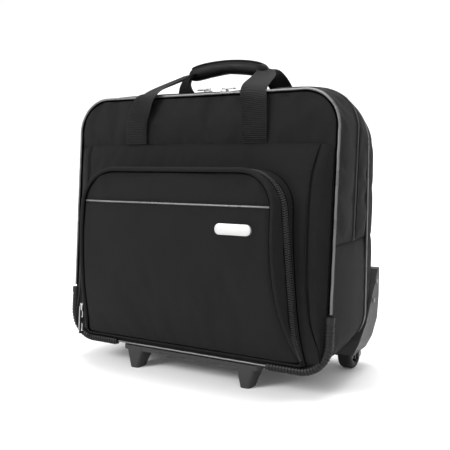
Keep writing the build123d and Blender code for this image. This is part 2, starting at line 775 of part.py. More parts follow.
def wheel_housing():
    """Right-hand corner housing: side plate, back plate, wheel well and axle bosses."""
    inner_boss_r, outer_boss_r = 9, 7
    boss_length = 10
    with BuildPart() as right_well:
        add(WELLS)
        split(bisect_by=Plane.YZ, keep=Keep.TOP)

    with BuildPart() as housing_right:
        with BuildSketch(SIDE):
            with BuildLine():
                Polyline((58, HOUSING_LOW), (62, 50), (79, 88), (92, 114), (105, 130),
                         (118, HOUSING_TOP - 2), (126, HOUSING_TOP), (126, 60), (124, 40),
                         (118, HOUSING_LOW), close=True)
            make_face()
        extrude(amount=REACH)
        with BuildSketch(Plane.XZ):
            with BuildLine():
                Polyline((168, HOUSING_LOW), (206, HOUSING_LOW), (214, 45), (221, 75), (223, 110),
                         (223, 160), (168, 160), close=True)
            make_face()
        extrude(amount=REACH, both=True, mode=Mode.INTERSECT)
        add(OUTER, mode=Mode.SUBTRACT)
        add(right_well.part)
        with BuildSketch(WHEEL_PLANE.offset(-WHEEL_WIDTH / 2 - boss_length)):
            Circle(inner_boss_r)
        extrude(amount=boss_length)
        with BuildSketch(WHEEL_PLANE.offset(WHEEL_WIDTH / 2)):
            Circle(outer_boss_r)
        extrude(amount=WELL_GAP + WELL_WALL)
        with BuildSketch(WHEEL_PLANE):
            Circle(WHEEL_R + WELL_GAP)
        extrude(amount=WHEEL_WIDTH / 2 + WELL_GAP, both=True, mode=Mode.SUBTRACT)
        with BuildSketch(WHEEL_PLANE):
            Circle(AXLE_R + AXLE_GAP)
        extrude(amount=REACH, both=True, mode=Mode.SUBTRACT)
        with BuildSketch(AXLE_HEAD_PLANE):
            Circle(AXLE_HEAD_R + 0.3)
        extrude(amount=REACH, mode=Mode.SUBTRACT)
    return housing_right


def mirrored(piece):
    """Left-hand copy of a right-hand piece."""
    with BuildPart() as left:
        mirror(piece.part, about=Plane.YZ)
    return left


def make_wheels():
    hub_half = WHEEL_WIDTH / 2 - 1
    recess = 6
    recess_r = (6, HUB_R - 2)
    lug_r = 2.5
    lug_circle_r = 10.5
    lugs = 5

    with BuildPart() as tyre_right:
        with BuildSketch(WHEEL_PLANE):
            Circle(WHEEL_R)
            Circle(HUB_R, mode=Mode.SUBTRACT)
        extrude(amount=WHEEL_WIDTH / 2, both=True)
        fillet(tyre_right.edges().filter_by(GeomType.CIRCLE).sort_by(SortBy.RADIUS)[-2:], 5)
    save(tyre_right, "tyre_right")
    save(mirrored(tyre_right), "tyre_left")

    with BuildPart() as hub_right:
        with BuildSketch(WHEEL_PLANE):
            Circle(HUB_R)
            Circle(AXLE_R + RUNNING_GAP, mode=Mode.SUBTRACT)
        extrude(amount=hub_half, both=True)
        with BuildSketch(WHEEL_PLANE.offset(hub_half)):
            Circle(recess_r[1])
            Circle(recess_r[0], mode=Mode.SUBTRACT)
        extrude(amount=-recess, mode=Mode.SUBTRACT)
        with BuildSketch(WHEEL_PLANE.offset(hub_half - recess)):
            with PolarLocations(lug_circle_r, lugs):
                Circle(lug_r)
        extrude(amount=recess - 1)
    save(hub_right, "hub_right")
    save(mirrored(hub_right), "hub_left")


def make_fasteners():
    """Wheel axles with their heads, and the rivets that hold the housings on."""
    inner_end = WHEEL_WIDTH / 2 + 8
    head_height = 1.6
    rivet_r = 3.6

    with BuildPart() as axles:
        with BuildSketch(WHEEL_PLANE.offset(-inner_end)):
            Circle(AXLE_R)
        extrude(amount=inner_end + WHEEL_WIDTH / 2 + WELL_GAP + WELL_WALL)
        with BuildSketch(AXLE_HEAD_PLANE):
            Circle(AXLE_HEAD_R)
        extrude(amount=head_height)
        mirror(about=Plane.YZ)
    save(axles, "axles")

    with BuildPart() as housing_rivets:
        with BuildSketch(Plane.YZ.offset(HALF)):
            with Locations((99, 106), (112, 134)):
                Circle(rivet_r)
        extrude(amount=4.6)
        with BuildSketch(Plane.XZ.offset(-124)):
            with Locations((185, 120), (185, 70)):
                Circle(rivet_r)
        extrude(amount=-3.6)
        add(HOUSING_RIGHT.part, mode=Mode.SUBTRACT)
        add(OUTER, mode=Mode.SUBTRACT)
        mirror(about=Plane.YZ)
    save(housing_rivets, "housing_rivets")


# ---- zip sliders --------------------------------------------------------------------------------
def slider_at(plane):
    """Zip slider that runs along its plane's x, with a bridge over the pull's pivot."""
    body_height = 3.2
    bridge, bridge_hole = (10, 4.2), (7, 2.6)
    bridge_half_width = 1.1
    with BuildPart() as slider:
        with BuildSketch(plane):
            RectangleRounded(13, 9, 3)
        extrude(amount=body_height)
        fillet(slider.edges().group_by(Axis(plane.origin, plane.z_dir))[-1], 0.8)
        with BuildSketch(Plane(origin=plane.origin, x_dir=plane.x_dir, z_dir=-plane.y_dir)):
            with Locations((0, PIVOT_LIFT)):
                Rectangle(*bridge)
                Rectangle(*bridge_hole, mode=Mode.SUBTRACT)
        extrude(amount=bridge_half_width, both=True)
    return slider


def pull_at(plane, length, width, loops):
    """Pull that lies along its plane's +x from a round bar at the origin, pierced by loops."""
    eye = (8.4, width - 3)
    eye_middle = 3
    with BuildPart() as pull:
        with BuildSketch(plane):
            with Locations((length / 2 - PULL_BAR_R, 0)):
                RectangleRounded(length, width, 2.4)
            with Locations((eye_middle, 0)):
                Rectangle(*eye, mode=Mode.SUBTRACT)
            for middle, reach in loops:
                with Locations((middle, 0)):
                    SlotOverall(reach, width - 4, mode=Mode.SUBTRACT)
        extrude(amount=PULL_BAR_R, both=True)
        with BuildSketch(Plane(origin=plane.origin, x_dir=plane.x_dir, z_dir=plane.y_dir)):
            Circle(PULL_BAR_R)
        extrude(amount=eye[1] / 2 + 0.6, both=True)
    return pull


def make_sliders():
    top_z = BASE_Z + CASE_HEIGHT + CROWN + TEETH_HEIGHT + 0.4
    zip_y = FRONT.offset(-ZIP_DEPTH).from_local_coords(
        Vector(0, in_face(BASE_Z + CASE_HEIGHT + CROWN, -ZIP_DEPTH), 0)).Y
    meeting_x = -12
    half_apart = 15
    for side, name in ((-1, "left"), (1, "right")):
        middle = Vector(meeting_x + half_apart * side, zip_y, top_z)
        pivot = middle + Vector(0, 0, PIVOT_LIFT)
        along = (side, 0, 0)
        save(slider_at(Plane(origin=middle, x_dir=along, z_dir=(0, 0, 1))), f"main_slider_{name}")
        save(pull_at(Plane(origin=pivot, x_dir=along, z_dir=(0, 0, 1)), 20, 8.4, [(13, 8)]),
             f"main_pull_{name}")

    low = on_front(-POCKET_SLIDER_LOW[0], POCKET_SLIDER_LOW[1], POCKET_SLIDER_LOW[2])
    high = on_front(-POCKET_SLIDER_HIGH[0], POCKET_SLIDER_HIGH[1], POCKET_SLIDER_HIGH[2])
    down = (low - high).normalized()
    outward = Vector(-1, 0, 0) - down * Vector(-1, 0, 0).dot(down)
    save(slider_at(Plane(origin=low, x_dir=down, z_dir=outward)), "pocket_slider")
    pivot = low + outward.normalized() * PIVOT_LIFT
    loops = [(13, 12), (34, 14)]
    save(pull_at(Plane(origin=pivot, x_dir=down, z_dir=outward), 45, 9, loops), "pocket_pull")


HOUSING_RIGHT = wheel_housing()
HOUSING_LEFT = mirrored(HOUSING_RIGHT)
save(HOUSING_RIGHT, "housing_right")
save(HOUSING_LEFT, "housing_left")
make_walls()
make_main_zip_teeth()
make_front_piping()
make_rear_piping()
make_corner_guards()
make_slip_pocket()
make_organiser()
make_lid()
make_inside()
make_strap_ends()
make_handle()
make_telescope()
make_trolley_grip()
make_stand()
make_wheels()
make_fasteners()
make_sliders()
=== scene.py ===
"""Looks of the rolling pilot case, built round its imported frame. Metres, +Z up, front facing -Y."""
import json
import math

import bpy
import numpy as np
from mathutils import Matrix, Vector
from mathutils.bvhtree import BVHTree
from mathutils.noise import noise as smooth_noise


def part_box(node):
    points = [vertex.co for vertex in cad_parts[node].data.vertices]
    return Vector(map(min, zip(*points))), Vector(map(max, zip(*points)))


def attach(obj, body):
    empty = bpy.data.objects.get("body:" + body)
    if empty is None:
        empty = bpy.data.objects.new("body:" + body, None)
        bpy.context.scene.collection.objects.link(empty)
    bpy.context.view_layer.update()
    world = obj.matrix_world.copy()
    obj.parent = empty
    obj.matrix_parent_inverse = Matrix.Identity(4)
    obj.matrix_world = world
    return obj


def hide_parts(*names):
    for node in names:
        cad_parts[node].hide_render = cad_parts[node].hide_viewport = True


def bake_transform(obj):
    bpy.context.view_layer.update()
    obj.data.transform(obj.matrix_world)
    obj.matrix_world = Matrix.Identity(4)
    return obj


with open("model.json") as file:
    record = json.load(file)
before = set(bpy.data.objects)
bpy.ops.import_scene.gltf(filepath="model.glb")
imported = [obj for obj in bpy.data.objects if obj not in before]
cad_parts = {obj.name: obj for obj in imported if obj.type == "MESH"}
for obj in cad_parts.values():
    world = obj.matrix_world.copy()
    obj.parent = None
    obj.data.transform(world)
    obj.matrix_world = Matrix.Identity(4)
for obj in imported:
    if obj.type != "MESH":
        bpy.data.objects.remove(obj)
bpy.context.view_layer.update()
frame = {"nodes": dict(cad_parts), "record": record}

MM = 0.001
NODES = frame["nodes"]


# ---- the frame's own geometry -------------------------------------------------------------------
def largest_face(node, facing):
    """Centre and normal of the largest polygon of a CAD node that faces roughly one way."""
    mesh = NODES[node].data
    facing = Vector(facing)
    best = max((p for p in mesh.polygons if p.normal.dot(facing) > 0.8), key=lambda p: p.area)
    return best.center.copy(), best.normal.copy()


FACE_POINT, OUT = largest_face("front_panel", (0, -1, 0))
OUT.x = 0
OUT.normalize()
UP = Vector((0, OUT.z, -OUT.y))
BASE_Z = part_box("front_panel")[0].z
ORIGIN = FACE_POINT - UP * ((FACE_POINT.z - BASE_Z) / UP.z)
ORIGIN.x = 0
FACE_TOP_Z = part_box("front_panel")[1].z
CROWN_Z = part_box("main_zip_tape")[1].z
SEAM_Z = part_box("lower_gusset")[1].z
REAR_SEAM_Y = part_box("rear_gusset")[0].y
BACK_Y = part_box("back_panel")[1].y
HALF_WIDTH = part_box("front_panel")[1].x
CENTRE = np.array((0, 0.01, 0.22))
OUT_WAY, UP_WAY, FACE_ZERO = np.array(OUT), np.array(UP), np.array(ORIGIN)

ZIP_DEPTH = 72 * MM              # main zip, behind the front face
TAPE_HALF = 8 * MM
SLIP_TOP = 306 * MM              # mouth of the slip pocket, up the front face
LID_TOP = 268 * MM
LID_LOW = 8 * MM
POCKET_DEPTH = 70 * MM           # where the organiser pocket's front outline is measured
TRIM_UP = 218 * MM
STRAP_X = 102 * MM
STRAP_WIDTH = 39 * MM
STRAP_SHIFT = 4 * MM             # both front straps are sewn this much to the left
STRAP_LEAN = {-1: (13 * MM, 25 * MM), 1: (1 * MM, 4 * MM)}     # inwards, low and high on the face


def on_front(x, up, out):
    """Point at x, up the leaning front face and out from it."""
    return ORIGIN + Vector((x, 0, 0)) + UP * up + OUT * out


def face_points(x, up, out):
    """The same for arrays."""
    x, up, out = np.broadcast_arrays(x, up, out)
    across = np.array((1.0, 0, 0))
    return (FACE_ZERO + x[..., None] * across + up[..., None] * UP_WAY
            + out[..., None] * OUT_WAY)


def height_up(points):
    """How far up the front face points are."""
    return (points - FACE_ZERO) @ UP_WAY


def depth_out(points):
    """How far out from the front face points are."""
    return (points - FACE_ZERO) @ OUT_WAY


def tree_of(name):
    mesh = NODES[name].data
    return BVHTree.FromPolygons([v.co.copy() for v in mesh.vertices],
                                [list(p.vertices) for p in mesh.polygons])


def side_curve(node, low, high):
    """Function that gives how far a pocket's face stands out at a height up the front face."""
    tree = tree_of(node)
    ups = np.linspace(low, high, 60)
    outs = []
    for up in ups:
        hit = tree.ray_cast(on_front(0.011, up, 0.2), -OUT)[0]
        outs.append((hit - ORIGIN).dot(OUT) if hit else outs[-1] if outs else 0)
    outs = np.array(outs)
    return lambda up: np.interp(up, ups, outs)


slip_out = side_curve("slip_pocket_panel", 9 * MM, SLIP_TOP - 1 * MM)
lid_out = side_curve("lid_panel", 11 * MM, LID_TOP - 3 * MM)


def zip_out(up):
    """Depth of the organiser pocket's zip line."""
    return np.interp(up, np.array((8, 45, 213, 275)) * MM, np.array((4.6, 22, 38, 42)) * MM)


def rounded(corners, radii, line_steps, arc_steps):
    """Open path through corners with its inner corners rounded, always with the same point count."""
    corners = [np.array(c, float) for c in corners]
    path = [corners[0]]
    for i, radius in enumerate(radii, 1):
        before = corners[i - 1] - corners[i]
        after = corners[i + 1] - corners[i]
        before /= np.linalg.norm(before)
        after /= np.linalg.norm(after)
        half = math.acos(before.dot(after)) / 2
        reach = radius / math.tan(half)
        middle = corners[i] + (before + after) / np.linalg.norm(before + after) * radius / math.sin(half)
        start = corners[i] + before * reach
        path += [path[-1] + (start - path[-1]) * t
                 for t in np.linspace(0, 1, line_steps[i - 1] + 1)[1:]]
        a, b = start - middle, corners[i] + after * reach - middle
        sweep = math.atan2(a[0] * b[1] - a[1] * b[0], a.dot(b))
        for t in np.linspace(0, sweep, arc_steps + 1)[1:]:
            turned = (a[0] * math.cos(t) - a[1] * math.sin(t), a[0] * math.sin(t) + a[1] * math.cos(t))
            path.append(middle + turned)
    path += [path[-1] + (corners[-1] - path[-1]) * t
             for t in np.linspace(0, 1, line_steps[-1] + 1)[1:]]
    return np.array(path)


def section(half, low, high, low_r, top_r, seam):
    """Upper and lower halves of a case section: from the right side seam to the left one and back."""
    upper = rounded([(half, seam), (half, high), (-half, high), (-half, seam)],
                    [top_r, top_r], (32, 66, 32), 20)
    lower = rounded([(-half, seam), (-half, low), (half, low), (half, seam)],
                    [low_r, low_r], (26, 66, 26), 16)
    return upper, lower


def leaning_section(depth, half, top_z, low_r, top_r):
    """Section parallel to the front face, depth behind it."""
    heights = [(z - BASE_Z + depth * OUT.z) / UP.z for z in (BASE_Z, top_z, SEAM_Z)]
    halves = section(half, heights[0], heights[1], low_r, top_r, heights[2])
    return [face_points(p[:, 0], p[:, 1], -depth) for p in halves]


def upright_section(y, half, low, high, low_r, top_r):
    halves = section(half, low, high, low_r, top_r, SEAM_Z)
    return [np.stack([p[:, 0], np.full(len(p), y), p[:, 1]], axis=1) for p in halves]


RINGS = [
    leaning_section(0, HALF_WIDTH, FACE_TOP_Z, 41 * MM, 51 * MM),
    leaning_section(ZIP_DEPTH, HALF_WIDTH + 2 * MM, CROWN_Z, 46 * MM, 62 * MM),
    upright_section(REAR_SEAM_Y, HALF_WIDTH, BASE_Z, CROWN_Z - 2 * MM, 60 * MM, 80 * MM),
    upright_section(BACK_Y - 14 * MM, HALF_WIDTH - 2 * MM, BASE_Z, CROWN_Z - 5 * MM, 66 * MM, 88 * MM),
    upright_section(BACK_Y, HALF_WIDTH - 14 * MM, BASE_Z + 8 * MM, CROWN_Z - 15 * MM, 56 * MM, 78 * MM),
]
UPPER, LOWER = 0, 1


def ring(part, place):
    """Line round the case at a place counted in sections, a number or one for each point."""
    place = np.broadcast_to(place, len(RINGS[0][part]))
    index = np.minimum(place.astype(int), len(RINGS) - 2)
    stack = np.stack([r[part] for r in RINGS])
    column = np.arange(len(place))
    t = (place - index)[:, None]
    return stack[index, column] * (1 - t) + stack[index + 1, column] * t


def whole_ring(place):
    return np.concatenate([ring(UPPER, place)[:-1], ring(LOWER, place)[:-1]])


ZIP_GAP = np.linalg.norm(ring(UPPER, 2) - ring(UPPER, 1), axis=1)
TAPE_FRONT = 1 - TAPE_HALF / ZIP_DEPTH
TAPE_REAR = 1 + TAPE_HALF / ZIP_GAP


# ---- materials ----------------------------------------------------------------------------------
class Shader:
    """A node material with a short way to add and join nodes."""

    def __init__(self, name):
        self.mat = bpy.data.materials.new(name)
        self.mat.use_nodes = True
        self.tree = self.mat.node_tree
        self.bsdf = self.tree.nodes["Principled BSDF"]

    def node(self, kind, **values):
        made = self.tree.nodes.new(kind)
        for key, value in values.items():
            if key in made.inputs:
                made.inputs[key].default_value = value
            else:
                setattr(made, key, value)
        return made

    def link(self, source, target):
        self.tree.links.new(source, target)

    def maths(self, operation, a, b=None):
        made = self.node("ShaderNodeMath", operation=operation)
        for socket, value in zip(made.inputs, (a, b)):
            if isinstance(value, (int, float)):
                socket.default_value = value
            elif value is not None:
                self.link(value, socket)
        return made.outputs[0]

    def noise(self, coords, scale, detail=3, rough=0.55):
        made = self.node("ShaderNodeTexNoise", Scale=scale, Detail=detail, Roughness=rough)
        self.link(coords, made.inputs["Vector"])
        return made.outputs["Fac"]

    def ramp(self, value, low, high, start, end):
        """Value from low..high turned into start..end."""
        made = self.node("ShaderNodeMapRange")
        self.link(value, made.inputs["Value"])
        for i, number in enumerate((low, high, start, end)):
            made.inputs[i + 1].default_value = number
        return made.outputs["Result"]

    def colours(self, value, dark, light):
        made = self.node("ShaderNodeMix", data_type="RGBA")
        self.link(value, made.inputs["Factor"])
        made.inputs[6].default_value = (*dark, 1)
        made.inputs[7].default_value = (*light, 1)
        return made.outputs[2]

    def bump(self, height, strength, distance, under=None):
        made = self.node("ShaderNodeBump", Strength=strength, Distance=distance)
        self.link(height, made.inputs["Height"])
        if under is not None:
            self.link(under, made.inputs["Normal"])
        return made.outputs["Normal"]

    def coords(self, which):
        return self.node("ShaderNodeTexCoord").outputs[which]

    def parts(self, vector):
        split = self.node("ShaderNodeSeparateXYZ")
        self.link(vector, split.inputs[0])
        return split.outputs

    def pick(self, choice, off, on):
        """The value off where choice is 0 and on where it is 1."""
        step = self.maths("MULTIPLY", self.maths("SUBTRACT", on, off), choice)
        return self.maths("ADD", off, step)

    def flat_coords(self):
        """Two lengths along the surface, taken from the two axes that it faces least."""
        x, y, z = self.parts(self.coords("Object"))
        nx, ny, nz = (self.maths("ABSOLUTE", n) for n in self.parts(self.coords("Normal")))
        sideways = self.maths("GREATER_THAN", nx, self.maths("MAXIMUM", ny, nz))
        level = self.maths("GREATER_THAN", nz, self.maths("MAXIMUM", nx, ny))
        return self.pick(sideways, x, y), self.pick(level, z, y)

    def put(self, name, value):
        socket = self.bsdf.inputs[name]
        if isinstance(value, (int, float, tuple)):
            socket.default_value = value
        else:
            self.link(value, socket)


def grey(level):
    return (level, level, level * 1.02)


def woven(name, level, pitch, depth=0.5, rough=0.7, twill=False, sheen=0.004):
    """Cloth woven at pitch metres from flecked threads, as a basket weave or a twill, with painted shade
    in the dips of the weave.
    """
    s = Shader(name)
    where = s.coords("Object")
    across, along = s.flat_coords()
    turn = 2 * math.pi / pitch
    wobble = s.maths("MULTIPLY", s.noise(where, 0.12 / pitch, 2), 1.2)
    if twill:
        across, along = s.maths("ADD", across, along), s.maths("SUBTRACT", across, along)
        turn *= math.sqrt(0.5)
    warp = s.maths("SINE", s.maths("ADD", s.maths("MULTIPLY", across, turn), wobble))
    weft = s.maths("SINE", s.maths("ADD", s.maths("MULTIPLY", along, turn), wobble))
    lift = s.maths("ADD", s.maths("MULTIPLY", s.maths("MULTIPLY", warp, weft), 0.5), 0.5)
    fleck = s.noise(where, 0.6 / pitch, 2, 0.7)
    patch = s.noise(where, 14, 4)
    # painted shade: the colour is darker where the weave dips (low lift); fleck is the threads' own uneven
    # colour
    shade = s.maths("ADD", s.maths("MULTIPLY", lift, 0.6), s.maths("MULTIPLY", fleck, 0.4))
    tone = s.maths("MULTIPLY", shade, s.ramp(patch, 0.3, 0.7, 0.9, 1.1))
    s.put("Base Color", s.colours(tone, grey(level * 0.12), grey(level * 2.1)))
    s.put("Roughness", s.ramp(fleck, 0, 1, rough - 0.08, rough + 0.1))
    s.put("Specular IOR Level", 0.1)
    s.put("Sheen Weight", sheen)
    s.put("Sheen Roughness", 0.5)
    cloth = s.bump(s.noise(where, 45, 3), 0.2, 0.6 * MM)
    s.put("Normal", s.bump(lift, depth * 1.5, pitch * 0.4, cloth))
    return s.mat


def ribbed(name, level, pitch):
    """Webbing: ribs across the strap with a fine thread between them, and painted shade in the grooves
    between ribs.
    """
    s = Shader(name)
    uv = s.coords("UV")
    across, along = s.parts(uv)[:2]
    turn = 2 * math.pi / pitch
    rib = s.maths("SINE", s.maths("MULTIPLY", along, turn))
    thread = s.maths("SINE", s.maths("MULTIPLY", across, turn * 1.7))
    weave = s.maths("ADD", s.maths("MULTIPLY", rib, 0.7), s.maths("MULTIPLY", thread, 0.3))
    lift = s.maths("MULTIPLY", s.maths("ADD", weave, 1), 0.5)
    fleck = s.noise(uv, 900, 2)
    # painted shade: the colour is darker in the grooves between ribs (low lift); fleck is the webbing's
    # own uneven colour
    tone = s.maths("MULTIPLY", lift, s.ramp(fleck, 0.2, 0.8, 0.7, 1.2))
    s.put("Base Color", s.colours(tone, grey(level * 0.3), grey(level * 1.7)))
    s.put("Roughness", s.ramp(fleck, 0, 1, 0.5, 0.7))
    s.put("Specular IOR Level", 0.14)
    s.put("Sheen Weight", 0.004)
    s.put("Normal", s.bump(lift, 0.9, pitch * 0.45))
    return s.mat


def grained(name, colour, rough, grain, depth, metallic=0.0, smudge=0.12, shine=0.22):
    """Moulded plastic, rubber, leather or metal with a fine grain, scuffs and uneven shine."""
    s = Shader(name)
    where = s.coords("Object")
    fine = s.noise(where, 1 / grain, 3, 0.6)
    cells = s.node("ShaderNodeTexVoronoi", Scale=0.7 / grain)
    s.link(where, cells.inputs["Vector"])
    wide = s.noise(where, 22, 4)
    scuff = s.ramp(s.noise(where, 160, 5, 0.7), 0.62, 0.75, 0, 0.35)
    tone = s.maths("ADD", s.ramp(wide, 0.3, 0.7, 0, 1), scuff)
    dark = tuple(c * 0.84 for c in colour)
    light = tuple(min(1, c * 1.12) for c in colour)
    s.put("Base Color", s.colours(tone, dark, light))
    s.put("Metallic", metallic)
    s.put("Specular IOR Level", shine)
    s.put("Roughness", s.ramp(wide, 0.25, 0.75, max(0.03, rough - smudge), rough + smudge))
    height = s.maths("ADD", s.maths("MULTIPLY", fine, 0.5), cells.outputs["Distance"])
    s.put("Normal", s.bump(height, depth, grain * 0.5))
    return s.mat


def brushed(name, colour, rough, stretch=(1, 1, 0.02)):
    """Metal with fine drawn lines along its long side."""
    s = Shader(name)
    where = s.coords("Object")
    squeeze = s.node("ShaderNodeMapping")
    squeeze.inputs["Scale"].default_value = stretch
    s.link(where, squeeze.inputs["Vector"])
    lines = s.noise(squeeze.outputs[0], 2500, 2)
    wide = s.noise(where, 18, 3)
    s.put("Base Color", s.colours(wide, tuple(c * 0.85 for c in colour), colour))
    s.put("Metallic", 0.9)
    s.put("Roughness", s.ramp(lines, 0.2, 0.8, rough - 0.08, rough + 0.14))
    s.put("Normal", s.bump(lines, 0.12, 0.05 * MM))
    return s.mat


MATERIALS = {
    "case_fabric": woven("case_fabric", 0.0085, 1.9 * MM),
    "pocket_fabric": woven("pocket_fabric", 0.0075, 2.0 * MM, twill=True),
    "lining": woven("lining", 0.05, 0.8 * MM, depth=0.3),
    "foam_cloth": woven("foam_cloth", 0.04, 1.0 * MM, depth=0.3),
    "zip_tape": woven("zip_tape", 0.006, 0.9 * MM, depth=0.6, rough=0.8),
    "webbing": ribbed("webbing", 0.0065, 2.6 * MM),
    "wrap_leather": grained("wrap_leather", grey(0.006), 0.5, 0.7 * MM, 0.25, shine=0.12),
    "silver_piping": grained("silver_piping", (0.12, 0.12, 0.124), 0.3, 0.5 * MM, 0.1, 0.35, shine=0.5),
    "black_piping": grained("black_piping", grey(0.008), 0.42, 0.5 * MM, 0.15),
    "guard_rubber": grained("guard_rubber", grey(0.009), 0.45, 0.4 * MM, 0.2),
    "zip_coil": grained("zip_coil", grey(0.03), 0.35, 0.3 * MM, 0.1, shine=0.5),
    "thread": grained("thread", grey(0.06), 0.6, 0.3 * MM, 0.1),
    # near-black matte material for cords laid in seam grooves and creases: painted shade of those grooves
    "seam": grained("seam", grey(0.0015), 0.9, 0.5 * MM, 0.1, shine=0.0),
    "board": grained("board", grey(0.05), 0.8, 0.8 * MM, 0.4),
    "frame_plastic": grained("frame_plastic", grey(0.04), 0.5, 0.6 * MM, 0.2),
    "housing_plastic": grained("housing_plastic", grey(0.04), 0.5, 0.6 * MM, 0.4),
    "stand_plastic": grained("stand_plastic", grey(0.03), 0.52, 0.6 * MM, 0.4),
    "black_plastic": grained("black_plastic", grey(0.012), 0.4, 0.4 * MM, 0.25),
    "tyre_rubber": grained("tyre_rubber", grey(0.012), 0.62, 0.8 * MM, 0.35),
    "nickel": grained("nickel", (0.36, 0.36, 0.355), 0.3, 0.8 * MM, 0.06, 1.0, 0.08),
    "steel": brushed("steel", (0.2, 0.2, 0.205), 0.4, (1, 1, 1)),
    "aluminium": brushed("aluminium", (0.36, 0.36, 0.37), 0.36),
    "badge_metal": brushed("badge_metal", (0.5, 0.5, 0.49), 0.5, (0.02, 1, 1)),
}

SOFT_SLOTS = ("case_fabric", "pocket_fabric", "lining", "foam_cloth", "zip_tape", "webbing")
for entry in frame["record"]["subparts"]:
    cad = NODES[entry["node"]]
    cad.data.materials.clear()
    cad.data.materials.append(MATERIALS[entry["material_slot"]])
    if entry["material_slot"] not in SOFT_SLOTS:
        edge = cad.modifiers.new("edge", "BEVEL")
        edge.width = 0.5 * MM
        edge.segments = 2
        edge.limit_method = "ANGLE"
        edge.angle_limit = math.radians(40)


# ---- mesh helpers -------------------------------------------------------------------------------
def smooth(obj, angle=50):
    for p in obj.data.polygons:
        p.use_smooth = True
    obj.data.set_sharp_from_angle(angle=math.radians(angle))
    return obj


def piece(name, verts, faces, slot, uvs=None):
    """A new mesh piece with its record slot's material."""
    mesh = bpy.data.meshes.new(name)
    mesh.from_pydata([tuple(v) for v in verts], [], [tuple(f) for f in faces])
    if uvs is not None:
        layer = mesh.uv_layers.new(name="lengths")
        for loop in mesh.loops:
            layer.data[loop.index].uv = uvs[loop.vertex_index]
    mesh.materials.append(MATERIALS[slot])
    obj = bpy.data.objects.new(name, mesh)
    bpy.context.scene.collection.objects.link(obj)
    return obj


def grid_faces(rows, columns, closed=False):
    span = columns if closed else columns - 1
    return [(r * columns + c, r * columns + (c + 1) % columns,
             (r + 1) * columns + (c + 1) % columns, (r + 1) * columns + c)
            for r in range(rows - 1) for c in range(span)]


def lengths(points):
    """Running length along each row of an array of points."""
    steps = np.linalg.norm(np.diff(points, axis=-2), axis=-1)
    return np.concatenate([np.zeros(steps.shape[:-1] + (1,)), np.cumsum(steps, axis=-1)], axis=-1)


def unit(vectors):
    return vectors / np.maximum(np.linalg.norm(vectors, axis=-1, keepdims=True), 1e-12)


def normals_of(points, closed=False):
    """Unit normals of a grid of points, facing away from the middle of the case."""
    if closed:
        wrapped = np.concatenate([points[:, -1:], points, points[:, :1]], axis=1)
        across = np.gradient(wrapped, axis=1)[:, 1:-1]
    else:
        across = np.gradient(points, axis=1)
    n = unit(np.cross(across, np.gradient(points, axis=0)))
    return n if np.sum(n * (points - CENTRE)) > 0 else -n


def faces_out(points, faces):
    """The grid's faces, turned so that they face away from the middle of the case."""
    flat = points.reshape(-1, 3)
    corner = flat[np.array(faces)]
    n = np.cross(corner[:, 2] - corner[:, 0], corner[:, 3] - corner[:, 1])
    if np.sum(n * (corner.mean(axis=1) - CENTRE)) < 0:
        return [f[::-1] for f in faces]
    return faces


def resample(points, count):
    """The same line with evenly spaced points."""
    points = np.asarray(points, float)
    run = lengths(points)
    marks = np.linspace(0, run[-1], count)
    return np.stack([np.interp(marks, run, points[:, i]) for i in range(3)], axis=1)


def smoothed(points, count, rounds=3):
    """A line through a few points, evenly spaced and rounded off between them."""
    line = resample(points, count)
    width = max(2, count // (2 * len(points)))
    for _ in range(rounds):
        padded = np.concatenate([2 * line[0] - line[width:0:-1], line,
                                 2 * line[-1] - line[-2:-width - 2:-1]])
        kernel = np.ones(2 * width + 1) / (2 * width + 1)
        line = np.stack([np.convolve(padded[:, i], kernel, "valid") for i in range(3)], axis=1)
    return line


def swell(points, size, depth, seed):
    """Soft uneven lift of each point of a grid, between -depth and depth."""
    shift = Vector((seed * 3.7, seed * 1.3, seed * 2.1))
    amount = [smooth_noise(Vector(p) / size + shift) * depth for p in points.reshape(-1, 3)]
    return np.array(amount).reshape(points.shape[:2] + (1,))


def inflate(points, cap, seed, rows_only=False, closed=False, slack=0.012):
    """Padded cloth: a grid held at its edges, blown outwards by a cloth simulation, then rescaled
    so that its largest movement is cap."""
    rows, columns = points.shape[:2]
    n = normals_of(points, closed)
    held = np.zeros((rows, columns), bool)
    held[[0, -1]] = True
    if not rows_only:
        held[:, [0, -1]] = True
    start = points + n * swell(points, 0.07, 0.5 * MM, seed) * ~held[..., None]
    mesh = bpy.data.meshes.new("cloth")
    faces = faces_out(start, grid_faces(rows, columns, closed))
    mesh.from_pydata([tuple(v) for v in start.reshape(-1, 3)], [], faces)
    obj = bpy.data.objects.new("cloth", mesh)
    bpy.context.scene.collection.objects.link(obj)
    pins = obj.vertex_groups.new(name="held")
    pins.add([int(i) for i in np.flatnonzero(held)], 1.0, "REPLACE")
    cloth = obj.modifiers.new("cloth", "CLOTH")
    settings = cloth.settings
    settings.quality = 4
    settings.mass = 0.15
    settings.vertex_group_mass = "held"
    settings.use_pressure = True
    settings.uniform_pressure_force = 4
    settings.shrink_min = -slack
    settings.bending_stiffness = 2
    settings.effector_weights.gravity = 0
    cloth.point_cache.frame_start = 1
    cloth.point_cache.frame_end = 20
    for step in range(1, 21):
        bpy.context.scene.frame_set(step)
    shape = obj.evaluated_get(bpy.context.evaluated_depsgraph_get()).to_mesh()
    moved = np.array([v.co[:] for v in shape.vertices]).reshape(points.shape)
    bpy.data.objects.remove(obj)
    bpy.context.scene.frame_set(1)
    shift = moved - start
    most = np.linalg.norm(shift, axis=-1).max()
    return start + shift * (cap / max(most, cap / 6))


def tucked(points, depth, sides, reach=3, closed=False):
    """A grid whose chosen sides roll under into a seam. Sides are from "low", "high", "left", "right"."""
    n = normals_of(points, closed)
    rows, columns = points.shape[:2]
    row, column = np.arange(rows)[:, None], np.arange(columns)[None, :]
    away = {"low": row, "high": rows - 1 - row, "left": column, "right": columns - 1 - column}
    nearest = np.full((rows, columns), float(reach))
    for side in sides:
        nearest = np.minimum(nearest, away[side])
    drop = (1 - nearest / reach) ** 2
    return points - n * (drop * depth)[..., None]


